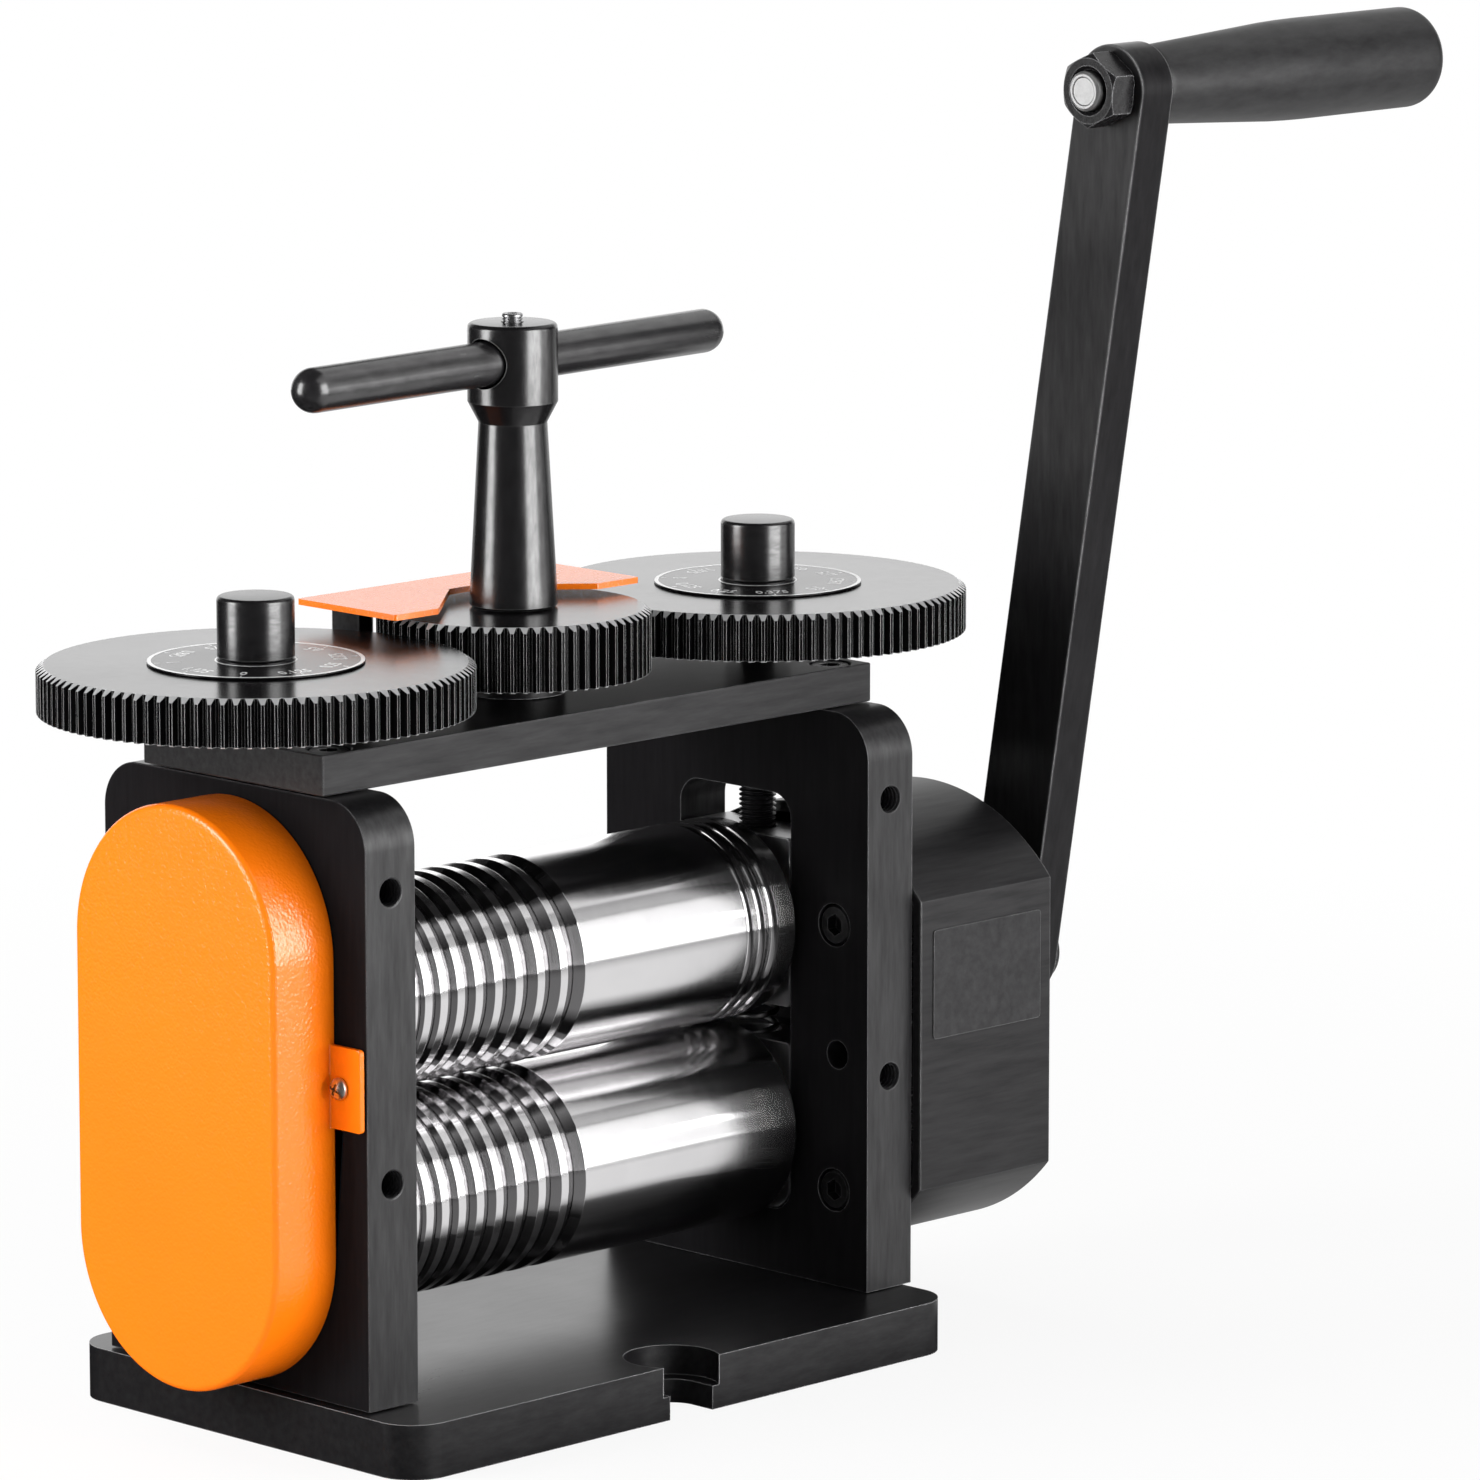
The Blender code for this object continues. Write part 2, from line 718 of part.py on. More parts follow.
def lifting_spring(name, side):
    """The coil between the blocks, which holds the upper block up against its screw."""
    low = lower_axis_height + block_half_height - spring_pocket_depth + seat_gap + spring_wire_radius
    high = upper_axis_height - block_half_height + spring_pocket_depth - seat_gap - spring_wire_radius
    points = round(coil_steps * spring_turns)
    curve = bpy.data.curves.new(name, "CURVE")
    curve.dimensions = "3D"
    curve.bevel_depth = spring_wire_radius
    curve.bevel_resolution = 1
    curve.use_fill_caps = True
    spline = curve.splines.new("POLY")
    spline.points.add(points)
    for number in range(points + 1):
        turn = 2 * math.pi * spring_turns * number / points
        height = low + (high - low) * number / points
        spline.points[number].co = (spring_radius * math.cos(turn), spring_radius * math.sin(turn),
                                    height, 1)
    coil = bpy.data.objects.new(name, curve)
    tools.objects.link(coil)
    return place(coil, bare_steel, where=(side * screw_x, 0, 0))


for side, word in ((-1, "left"), (1, "right")):
    bearing_block("lower_block_" + word, side, lower_axis_height, True)
    bearing_block("upper_block_" + word, side, upper_axis_height, False)
    bush("lower_bush_" + word, side, lower_axis_height)
    bush("upper_bush_" + word, side, upper_axis_height)
    lifting_spring("lifting_spring_" + word, side)


# Rolls
def groove_points():
    """The V grooves for square wire, from the flat zone towards -X, the largest first."""
    points = []
    x = flat_zone_start
    for number in range(groove_count):
        width = first_groove_width - number * groove_width_step
        points += [(roll_radius, x), (roll_radius - width * groove_depth_share, x - width / 2),
                   (roll_radius, x - width)]
        x -= width + groove_land
    return points


def oval_points():
    """The half-round grooves at the right end of the upper roll, from right to left."""
    points = []
    for number, width in reversed(list(enumerate(oval_groove_widths))):
        x = oval_groove_centre + number * oval_groove_pitch
        points += [(roll_radius, x + width / 2), (roll_radius - width * oval_depth_share, x),
                   (roll_radius, x - width / 2)]
    return points


def roll_profile(right_end, left_end, shoulder, ovals):
    """The profile of a roll with its necks, from its right end to its left end."""
    right_seat = half_outer + neck_overhang
    points = [(0, right_end)]
    if right_end > right_seat:
        points += [(gear_seat_radius, right_end), (gear_seat_radius, right_seat),
                   (neck_radius, right_seat)]
    else:
        points.append((neck_radius, right_end))
    points.append((neck_radius, roll_half_length))
    if shoulder:
        step = roll_radius - end_shoulder_depth
        points += [(step, roll_half_length), (step, roll_half_length - end_shoulder_width),
                   (roll_radius, roll_half_length - end_shoulder_width)]
    else:
        points += [(roll_radius - roll_chamfer, roll_half_length),
                   (roll_radius, roll_half_length - roll_chamfer)]
    points += ovals + groove_points()
    points += [(roll_radius, -roll_half_length + roll_chamfer),
               (roll_radius - roll_chamfer, -roll_half_length), (neck_radius, -roll_half_length),
               (neck_radius, -right_seat), (gear_seat_radius, -right_seat),
               (gear_seat_radius, left_end), (0, left_end)]
    return points


lower_axis = axis_empty("lower_roll_axis", (0, 0, lower_axis_height))
upper_axis = axis_empty("upper_roll_axis", (0, 0, upper_axis_height))
along_x = (0, math.pi / 2, 0)
roll_left_end = -gear_start - coupling_width - 2 * seat_gap
nut_start = gear_start + reduction_width + seat_gap
lower_right_end = nut_start + retaining_nut_height + seat_gap
lower_roll = turned("lower_roll", roll_profile(lower_right_end, roll_left_end, False, []),
                    roll_steps)
place(lower_roll, polished_steel, lower_axis, turn=along_x)
upper_roll = turned("upper_roll", roll_profile(half_outer - seat_gap, roll_left_end, True,
                                               oval_points()), roll_steps)
place(upper_roll, polished_steel, upper_axis, turn=along_x)


def coupling_gear(name, parent, phase):
    """One of the two long-toothed gears that keep the rolls turning together as they part."""
    outline = gear_outline(coupling_teeth, coupling_module, coupling_addendum_share,
                           coupling_dedendum_share, coupling_backlash, phase,
                           tall_pressure_angle, tall_flank_steps)
    gear = plate(name, [outline, circle(gear_seat_radius + hole_gap)], coupling_width)
    upright_on_x(gear, -gear_start - coupling_width / 2)
    return place(gear, black_gear, parent)


coupling_gear("lower_coupling_gear", lower_axis, math.pi / 2)
coupling_gear("upper_coupling_gear", upper_axis, -math.pi / 2 + math.pi / coupling_teeth)

# Gearbox gears
to_pinion = math.pi / 2 + crank_lean
reduction = plate("reduction_gear", [
    gear_outline(reduction_teeth, gear_module, drive_addendum_share, drive_dedendum_share,
                 drive_backlash, to_pinion), circle(gear_seat_radius + hole_gap)], reduction_width)
upright_on_x(reduction, gear_start + reduction_width / 2)
place(reduction, black_gear, lower_axis)
retaining_nut = turned("reduction_gear_nut", ring_profile(
    gear_seat_radius + hole_gap, retaining_nut_radius, nut_start + retaining_nut_height, nut_start),
    closed=True)
place(retaining_nut, bare_steel, lower_axis, turn=along_x)

crank_axis = axis_empty("crank_axis", (0, crank_y, crank_z))
pinion = plate("crank_pinion_cut", [
    gear_outline(pinion_teeth, gear_module, drive_addendum_share, drive_dedendum_share, drive_backlash,
                 to_pinion + math.pi + math.pi / pinion_teeth)], reduction_width)
upright_on_x(pinion, gear_start + reduction_width / 2)
pinion.parent = crank_axis
pinion_end = gear_start + reduction_width
crank_shaft = turned("crank_shaft", [
    (0, arm_end - seat_gap), (crank_seat_radius, arm_end - seat_gap), (crank_seat_radius, collar_end),
    (crank_collar_radius, collar_end), (crank_collar_radius, collar_end - crank_collar_length),
    (crank_shaft_radius, collar_end - crank_collar_length),
    (crank_shaft_radius, gear_start + seat_gap), (0, gear_start + seat_gap)])
place(crank_shaft, black_gear, crank_axis, turn=along_x)
join(crank_shaft, pinion)
shank_hole = rod("crank_screw_hole", crank_screw_radius + hole_gap,
                 arm_end - crank_screw_length - 2 * seat_gap, arm_end + cut_overrun, "X",
                 steps=small_round_steps)
shank_hole.parent = crank_axis
cut(crank_shaft, shank_hole)

# Gearbox housing
def flatted_circle(radius, reach):
    """A circle whose front and rear are cut flat, about the housing's centre."""
    flat = math.acos(reach / radius)
    centre = (housing_centre_y, housing_centre_z)
    return (arc(centre, radius, flat, math.pi - flat, 2 * wide_arc_steps)
            + arc(centre, radius, math.pi + flat, 2 * math.pi - flat, 2 * wide_arc_steps))


housing = plate("gearbox_housing", [flatted_circle(housing_radius, housing_flat_reach)], housing_depth)
upright_on_x(housing, housing_start + housing_depth / 2)
hollow_depth = housing_depth - housing_wall
hollow = plate("housing_hollow", [flatted_circle(housing_radius - housing_wall,
                                                 housing_flat_reach - housing_wall)],
               hollow_depth + cut_overrun)
upright_on_x(hollow, housing_start + (hollow_depth - cut_overrun) / 2)
cut(housing, hollow)
wall_inside = housing_end - housing_wall
boss_start = pinion_end + boss_clearance
sink = housing_wall / 2
join(housing, rod("crank_boss", boss_radius, boss_start, wall_inside + sink, "X", (crank_y, crank_z)))
for y, z in housing_screws:
    join(housing, rod("housing_pillar", pillar_radius, housing_start + seat_gap, wall_inside + sink, "X",
                      (y, z), small_round_steps))
thread_end = half_inner + socket_reach + 3 * seat_gap
for y, z in housing_screws:
    cut(housing, rod("pillar_thread", socket_radius + hole_gap, housing_start - cut_overrun,
                     thread_end, "X", (y, z), small_round_steps))
cut(housing, rod("crank_bush_hole", crank_bush_radius + hole_gap, boss_start - cut_overrun,
                 housing_end + cut_overrun, "X", (crank_y, crank_z)))
place(housing, black_steel)

rating = plate("rating_plate", [rounded_rectangle(0, rating_length, 0, rating_height,
                                                  [rating_corner_radius] * 4)], rating_thickness)
face_turn = Matrix.Rotation(math.pi / 2, 4, "X")
rating_y = housing_centre_y - housing_flat_reach - seat_gap - rating_thickness / 2
moved(rating, Matrix.Translation((housing_start + rating_start, rating_y, rating_bottom_height))
      @ face_turn)
place(rating, black_steel)

crank_bush = turned("crank_bush", [
    (crank_flange_radius, crank_flange_end), (crank_flange_radius, housing_end + seat_gap),
    (crank_bush_radius, housing_end + seat_gap), (crank_bush_radius, boss_start),
    (crank_shaft_radius + running_gap, boss_start),
    (crank_shaft_radius + running_gap, crank_flange_end)], closed=True)
place(crank_bush, bronze, where=(0, crank_y, crank_z), turn=along_x)

# Crank arm and grip
tilt = (arm_lean, 0, 0)
arm = plate("crank_arm", [stadium(arm_width / 2, -arm_width / 2, arm_length + arm_width / 2),
                          circle(crank_seat_radius + hole_gap),
                          circle(stud_radius + hole_gap, centre=(0, arm_length))], arm_thickness)
upright_on_x(arm, arm_start + arm_thickness / 2)
place(arm, black_steel, crank_axis, turn=tilt)
crank_screw = socket_screw("crank_screw", crank_screw_head_radius, crank_screw_head_height,
                           crank_screw_radius, crank_screw_length)
place(crank_screw, black_gear, crank_axis, (arm_end + seat_gap, 0, 0), along_x)

grip_axis = axis_empty("grip_axis", (0, grip_y - crank_y, grip_z - crank_z), crank_axis)
nut_end = arm_start - seat_gap
nut = plate("stud_nut", [circle(nut_radius, 6), circle(stud_radius + hole_gap)], nut_height)
upright_on_x(nut, nut_end - nut_height / 2)
place(nut, black_gear, grip_axis)
stud_start = nut_end - nut_height - stud_tail
head_floor = grip_end - grip_head_pocket
stud = turned("grip_stud", [
    (0, head_floor + seat_gap + stud_head_height),
    (stud_head_radius, head_floor + seat_gap + stud_head_height),
    (stud_head_radius, head_floor + seat_gap), (stud_radius, head_floor + seat_gap),
    (stud_radius, stud_start), (0, stud_start)], small_round_steps * 2)
place(stud, bare_steel, grip_axis, turn=along_x)
swell_shares = ((0.00, 0.00), (0.12, 0.20), (0.36, 0.78), (0.52, 0.95), (0.75, 1.00))
grip_outer = [(grip_neck_radius + (grip_radius - grip_neck_radius) * grow, grip_start + grip_length * along)
              for along, grow in swell_shares]
end_arc = arc((grip_radius - grip_end_radius, grip_end - grip_end_radius), grip_end_radius,
              math.pi / 2, 0, 3)
grip_bore = stud_radius + running_gap
grip = turned("crank_grip", (
    [(stud_head_radius + hole_gap, grip_end)] + end_arc + list(reversed(grip_outer))
    + [(grip_bore, grip_start), (grip_bore, head_floor), (stud_head_radius + hole_gap, head_floor)]),
    closed=True)
place(grip, black_grip, grip_axis, turn=along_x)


# Adjusting screws with their gears, dials and knobs
def adjusting_set(word, side):
    axis = axis_empty(word + "_screw_axis", (side * screw_x, 0, 0))
    collar_top = side_gear_bottom - seat_gap
    collar_bottom = collar_top - screw_collar_height
    foot = upper_axis_height + block_half_height - screw_foot_depth + seat_gap
    spigot_top = knob_bottom + knob_bore_depth - seat_gap
    screw = turned("adjusting_screw_" + word, [
        (0, spigot_top), (screw_spigot_radius, spigot_top), (screw_spigot_radius, collar_top),
        (screw_collar_radius, collar_top), (screw_collar_radius, collar_bottom),
        (adjusting_screw_radius, collar_bottom), (adjusting_screw_radius, foot), (0, foot)])
    place(screw, black_gear, axis)
    bore = screw_spigot_radius + hole_gap
    towards = 0 if side < 0 else math.pi
    half_pitch = math.pi / side_gear_teeth
    phase = towards if side < 0 else towards + half_pitch
    outline = gear_outline(side_gear_teeth, fine_module, fine_addendum_share, fine_dedendum_share,
                           fine_backlash, phase)
    gear = plate("side_gear_" + word, [outline, circle(bore)], side_gear_width)
    moved(gear, Matrix.Translation((0, 0, side_gear_bottom + side_gear_width / 2)))
    place(gear, black_gear, axis)
    dial = turned("dial_" + word, ring_profile(bore, dial_radius, dial_bottom + dial_thickness,
                                               dial_bottom), closed=True)
    place(dial, black_gear, axis)
    chamfer = hole_gap * 2
    knob_top = knob_bottom + knob_height
    bore_top = knob_bottom + knob_bore_depth
    knob = turned("knob_" + word, [
        (0, knob_top), (knob_radius - chamfer, knob_top), (knob_radius, knob_top - chamfer),
        (knob_radius, knob_bottom), (bore, knob_bottom), (bore, bore_top), (0, bore_top)])
    place(knob, black_gear, axis)


adjusting_set("left", -1)
adjusting_set("right", 1)

# Centre gear and T-handle
handle_axis = axis_empty("t_handle_axis", (0, 0, 0))
centre_gear = plate("centre_gear", [
    gear_outline(centre_gear_teeth, fine_module, fine_addendum_share, fine_dedendum_share,
                 fine_backlash), circle(centre_spigot_radius + hole_gap)], centre_gear_width)
moved(centre_gear, Matrix.Translation((0, 0, centre_gear_bottom + centre_gear_width / 2)))
place(centre_gear, black_gear, handle_axis)

nut_top = bridge_bottom - seat_gap
spigot_end = nut_top - centre_nut_height - seat_gap
head_chamfer = hole_gap * 2
stem = turned("t_stem", [
    (0, head_top), (stem_head_radius - head_chamfer, head_top),
    (stem_head_radius, head_top - head_chamfer), (stem_head_radius, head_bottom),
    (stem_top_radius, head_bottom - stem_neck_height), (stem_foot_radius, stem_bottom),
    (centre_spigot_radius, stem_bottom), (centre_spigot_radius, spigot_end), (0, spigot_end)])
bar_turn_matrix = Matrix.Rotation(bar_turn, 4, "Z")
bar_hole = rod("bar_hole", bar_radius + hole_gap, -2 * stem_head_radius, 2 * stem_head_radius, "X",
               (0, bar_height))
moved(bar_hole, bar_turn_matrix)
screw_hole = rod("set_screw_hole", set_screw_radius + hole_gap, bar_height, head_top + cut_overrun,
                 "Z", steps=small_round_steps)
cut(stem, bar_hole, screw_hole)
place(stem, black_gear, handle_axis)

bar_end = bar_length / 2
dome = [(radius, bar_end - bar_radius + height) for height, radius in
        arc((0, 0), bar_radius, 0, math.pi / 2, 3)]
bar = turned("t_bar", dome + [(radius, -height) for radius, height in reversed(dome)],
             small_round_steps + 4)
place(bar, black_gear, handle_axis, (0, 0, bar_height), (0, math.pi / 2, bar_turn))
set_screw = rod("t_set_screw", set_screw_radius, bar_height + bar_radius + seat_gap,
                head_top + set_screw_rise, "Z", steps=small_round_steps)
place(set_screw, black_gear, handle_axis)
centre_nut = plate("centre_nut", [circle(centre_nut_radius, 6),
                                  circle(centre_spigot_radius + hole_gap)], centre_nut_height)
moved(centre_nut, Matrix.Translation((0, 0, nut_top - centre_nut_height / 2)))
place(centre_nut, black_gear, handle_axis)

# Guard plate and its posts
guard_bottom = bridge_top + guard_height
half_guard = guard_width / 2
half_mouth = guard_mouth / 2
notch_centre = guard_front + guard_notch_reach - guard_notch_radius
notch_start, notch_end = [math.pi * share for share in guard_notch_shares]
notch = arc((0, notch_centre), guard_notch_radius, notch_start, notch_end, corner_steps)
guard = plate("gear_guard", [
    [(-half_guard, guard_front), (-half_mouth, guard_front)] + list(reversed(notch))
    + [(half_mouth, guard_front), (half_guard, guard_front), (half_guard, guard_rear),
       (-half_guard, guard_rear)]], guard_thickness)
moved(guard, Matrix.Translation((0, 0, guard_bottom + guard_thickness / 2)))
place(guard, orange_paint)

for side, word in ((-1, "left"), (1, "right")):
    near, far = sorted((side * (post_outer - post_width), side * post_outer))
    post = block("guard_post_" + word, (near, post_rear - post_depth, bridge_top + seat_gap),
                 (far, post_rear, guard_bottom - seat_gap))
    relief = rod("post_relief", centre_gear_radius + post_gear_clearance, bridge_top - cut_overrun,
                 guard_bottom + cut_overrun, "Z", steps=4 * wide_arc_steps)
    spigot = rod("post_spigot", post_spigot_radius, bridge_top - post_spigot_length,
                 bridge_top + 2 * cut_overrun, "Z", (side * post_middle_x, post_middle_y),
                 hidden_round_steps)
    join(cut(post, relief), spigot)
    place(post, black_steel)

# Cover over the coupling gears
cover_top = cover_bottom + cover_height
cover_end = cover_start - cover_depth
cover = plate("gear_cover", [stadium(cover_radius, cover_bottom, cover_top)], cover_depth)
upright_on_x(cover, cover_start - cover_depth / 2)
bm = bmesh.new()
bm.from_mesh(cover.data)
rim = [edge for edge in bm.edges if all(vert.co.x < cover_end + seat_gap for vert in edge.verts)
       and len({face.normal.x < -0.5 for face in edge.link_faces}) == 2]
bmesh.ops.bevel(bm, geom=rim, offset=cover_edge_radius, segments=2, profile=0.5, affect="EDGES")
bm.to_mesh(cover.data)
bm.free()
inside = plate("cover_inside", [stadium(cover_radius - cover_wall, cover_bottom + cover_wall,
                                        cover_top - cover_wall)],
               cover_depth - cover_wall + cut_overrun)
upright_on_x(inside, cover_start - (cover_depth - cover_wall - cut_overrun) / 2)
cut(cover, inside)
for end in (-1, 1):
    near, far = sorted((end * (cover_radius - cover_wall / 2), end * (cover_radius + tab_reach)))
    tab = block("cover_tab", (cover_start - cover_wall, near, tab_centre_height - tab_height / 2),
                (cover_start, far, tab_centre_height + tab_height / 2))
    join(cover, tab)
for end in (-1, 1):
    cut(cover, rod("tab_hole", tab_screw_radius + hole_gap, cover_start - cover_wall - cut_overrun,
                   cover_start + cut_overrun, "X", (end * tab_screw_y, tab_centre_height),
                   small_round_steps))
place(cover, orange_paint)

for end, word in ((-1, "front"), (1, "rear")):
    screw = socket_screw("cover_screw_" + word, tab_head_radius, tab_head_height, tab_screw_radius,
                         cover_wall + tab_screw_length)
    place(screw, bare_steel, where=(cover_start - cover_wall - seat_gap, end * tab_screw_y,
                                    tab_centre_height), turn=(0, -math.pi / 2, 0))
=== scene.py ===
import math

import bmesh
import bpy
from mathutils import Matrix, Vector


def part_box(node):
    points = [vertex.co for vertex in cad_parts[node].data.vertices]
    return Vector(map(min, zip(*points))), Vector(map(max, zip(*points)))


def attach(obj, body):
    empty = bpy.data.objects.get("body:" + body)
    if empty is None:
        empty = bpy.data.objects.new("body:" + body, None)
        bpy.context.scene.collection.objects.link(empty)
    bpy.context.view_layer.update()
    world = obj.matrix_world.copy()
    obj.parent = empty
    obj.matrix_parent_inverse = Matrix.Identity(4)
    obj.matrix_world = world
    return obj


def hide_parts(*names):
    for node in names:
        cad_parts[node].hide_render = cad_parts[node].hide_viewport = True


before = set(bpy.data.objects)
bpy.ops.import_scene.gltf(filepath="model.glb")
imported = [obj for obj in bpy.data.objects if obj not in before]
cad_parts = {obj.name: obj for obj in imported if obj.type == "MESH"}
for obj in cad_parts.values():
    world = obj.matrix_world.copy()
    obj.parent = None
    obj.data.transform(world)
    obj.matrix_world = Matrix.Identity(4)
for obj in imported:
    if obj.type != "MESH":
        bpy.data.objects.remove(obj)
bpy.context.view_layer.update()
mm = 0.001


# Studio
# The mill stands on a pale seamless floor. Soft boxes in front of it and at both sides show in its
# polished faces, and fills that no mirror shows light the matt ones.
# The camera is far off to the front left with a long lens, a little above the mill.
into_scene = bpy.context.scene.collection.objects.link
eye = Vector((-1494.35, -1571.6, 550.8)) * mm
aim = Vector((48.55, -31.4, 159.5)) * mm
camera_data = bpy.data.cameras.new("camera")
camera_data.lens = 213.9
camera_data.sensor_width = 36
camera_data.clip_end = 20
camera = bpy.data.objects.new("camera", camera_data)
camera.location = eye
camera.rotation_mode = "QUATERNION"
camera.rotation_quaternion = (aim - eye).to_track_quat("-Z", "Y")
into_scene(camera)
bpy.context.scene.camera = camera
bpy.context.scene.view_settings.view_transform = "Standard"


def soft_box(name, azimuth, distance, bottom, width, height, radiance, tilt=0.0, hidden_from=""):
    """A soft box that faces the mill, its radiance as a share of a white surface's."""
    data = bpy.data.lights.new(name, "AREA")
    data.shape = "RECTANGLE"
    data.size = width
    data.size_y = height
    data.energy = radiance * math.pi * width * height
    box = bpy.data.objects.new(name, data)
    angle = math.radians(azimuth)
    box.location = (distance * math.cos(angle), distance * math.sin(angle), bottom + height / 2)
    box.rotation_euler = (math.pi / 2 - math.radians(tilt), 0, angle + math.pi / 2)
    box.visible_camera = False
    box.visible_diffuse = hidden_from != "diffuse"
    box.visible_glossy = hidden_from != "glossy"
    into_scene(box)


soft_box("front_softbox", -77, 1.2, 0.0, 0.80, 0.95, 7.5, hidden_from="diffuse")
soft_box("right_panel", -48, 1.3, 0.0, 0.65, 0.78, 1.1)
soft_box("right_strip", -48, 1.28, 0.29, 0.55, 0.11, 2.6)
soft_box("right_top", -46, 1.3, 0.78, 0.75, 0.34, 0.60)
soft_box("rear_diffuser", 10, 1.3, 0.98, 1.4, 0.8, 1.0, 44, hidden_from="diffuse")
soft_box("front_diffuser", -60, 0.85, 0.95, 1.5, 0.75, 0.95, 50, hidden_from="diffuse")
soft_box("left_softbox", 155, 1.2, 0.0, 0.50, 0.95, 8.0)
soft_box("front_fill", -72, 1.2, 0.0, 0.90, 0.35, 18, hidden_from="glossy")
soft_box("side_fill", 198, 1.6, 0.25, 1.3, 1.0, 1.2, 15, hidden_from="glossy")
soft_box("left_fill", 160, 1.6, 0.25, 1.3, 1.0, 4.2, 15, hidden_from="glossy")
soft_box("top_fill", 90, 0.95, 0.8, 1.2, 1.2, 2.6, 52, hidden_from="glossy")
soft_box("backdrop", 45, 2.0, 0.0, 3.2, 1.1, 1.5, hidden_from="diffuse")


def feed(node, inputs):
    """Sets a node's inputs, or links them to the outputs of other nodes."""
    for label, value in inputs.items():
        if isinstance(value, bpy.types.NodeSocket):
            node.id_data.links.new(value, node.inputs[label])
        else:
            node.inputs[label].default_value = value


def new_node(tree, kind, inputs, **settings):
    node = tree.nodes.new("ShaderNode" + kind)
    for label, value in settings.items():
        setattr(node, label, value)
    feed(node, inputs)
    return node


def calc(tree, operation, first, second=0.0, clamp=False):
    """The result of a sum on two values or outputs."""
    return new_node(tree, "Math", {0: first, 1: second}, operation=operation, use_clamp=clamp).outputs[0]


def ramp(tree, value, start, end, first=0.0, last=1.0):
    """Runs from first to last while a value runs from start to end."""
    return new_node(tree, "MapRange", {"Value": value, "From Min": start, "From Max": end, "To Min": first,
                                       "To Max": last}).outputs[0]


def object_place(tree):
    return new_node(tree, "TexCoord", {}).outputs["Object"]


def new_material(name):
    material = bpy.data.materials.new(name)
    material.use_nodes = True
    return material, material.node_tree, material.node_tree.nodes["Principled BSDF"]


world = bpy.data.worlds.new("studio")
bpy.context.scene.world = world
world.use_nodes = True
ray = new_node(world.node_tree, "LightPath", {})
feed(world.node_tree.nodes["Background"], {
    "Color": (1, 1, 1, 1), "Strength": ramp(world.node_tree, ray.outputs["Is Camera Ray"], 0, 1, 0.06, 1.0)})

floor_mesh = bpy.data.meshes.new("floor")
bm = bmesh.new()
bmesh.ops.create_grid(bm, x_segments=1, y_segments=1, size=12)
bm.to_mesh(floor_mesh)
bm.free()
floor = bpy.data.objects.new("floor", floor_mesh)
into_scene(floor)
paper, tree, shader = new_material("seamless_paper")
floor_mesh.materials.append(paper)
feed(shader, {"Base Color": (0.88, 0.88, 0.88, 1), "Roughness": 0.9})
ray = new_node(tree, "LightPath", {})
floor_place = object_place(tree)


def floor_ramp(direction, start, end, first, last):
    """A share that changes along a direction on the floor, or with the distance if none is given."""
    along = new_node(tree, "VectorMath", {0: floor_place, 1: direction or (0, 0, 0)},
                     operation="DOT_PRODUCT" if direction else "LENGTH")
    return ramp(tree, along.outputs["Value"], start, end, first, last)


# Seen directly the floor fades to white, but for the mill's shadow. In the mill's mirrors the floor is not lit
# but shows a painted glow, with painted shade under the mill and behind it.
shown = calc(tree, "MULTIPLY", ray.outputs["Is Camera Ray"], floor_ramp(None, 0.25, 0.7, 0.90, 1.0))
glow = new_node(tree, "Emission", {})
blend = new_node(tree, "MixShader", {"Fac": shown, 1: shader.outputs[0], 2: glow.outputs[0]})
in_front = calc(tree, "MAXIMUM", floor_ramp((0, -1, 0), 0.062, 0.102, 0.04, 1.0),
                floor_ramp((1, 0, 0), 0.125, 0.150, 0.03, 1.0))
to_the_right = floor_ramp((0.985, -0.174, 0), -0.15, 0.05, 0.15, 1.0)
near = floor_ramp(None, 0.45, 0.95, 0.92, 0.50)
painted_mirror_glow = new_node(tree, "Emission", {
    "Strength": calc(tree, "MULTIPLY", calc(tree, "MULTIPLY", in_front, to_the_right), near)})
mirror_blend = new_node(tree, "MixShader", {"Fac": ray.outputs["Is Glossy Ray"], 1: blend.outputs[0],
                                            2: painted_mirror_glow.outputs[0]})
feed(tree.nodes["Material Output"], {"Surface": mirror_blend.outputs[0]})


# Base plate
# A thick steel plate with rounded corners, ground flat, blackened and oiled. A stepped slot in
# the middle of the front and the back edge takes a bench bolt with its washer.
smooth_limit = math.radians(12)
axis_turns = {"X": Matrix.Rotation(math.pi / 2, 4, "Y"), "Y": Matrix.Rotation(-math.pi / 2, 4, "X"),
              "Z": Matrix.Identity(4)}
# Cutters reach this far past a face, and pieces that touch in the real mill keep this gap.
over = 2 * mm
seat_gap = 0.3 * mm


def rounded_outline(corners, steps=12):
    """Points of an outline from its corners, (x, y, radius), counter-clockwise."""
    points = []
    for number, (x, y, radius) in enumerate(corners):
        corner = Vector((x, y))
        if not radius:
            points.append((x, y))
            continue
        before = (Vector(corners[number - 1][:2]) - corner).normalized()
        after = (Vector(corners[(number + 1) % len(corners)][:2]) - corner).normalized()
        half = before.angle(after) / 2
        centre = corner + (before + after).normalized() * radius / math.sin(half)
        first = corner + before * radius / math.tan(half) - centre
        sweep = math.pi - 2 * half
        if before.x * after.y - before.y * after.x > 0:
            sweep = -sweep
        start = math.atan2(first.y, first.x)
        points += [(centre.x + radius * math.cos(start + sweep * i / steps),
                    centre.y + radius * math.sin(start + sweep * i / steps)) for i in range(steps + 1)]
    return points


def rounded_box(left, bottom, right, top, *radii, steps=12):
    """A rectangle with one corner radius, or with four, counter-clockwise from the lower left."""
    corners = ((left, bottom), (right, bottom), (right, top), (left, top))
    return rounded_outline([(*corner, radius) for corner, radius in zip(corners, radii * 4)], steps)


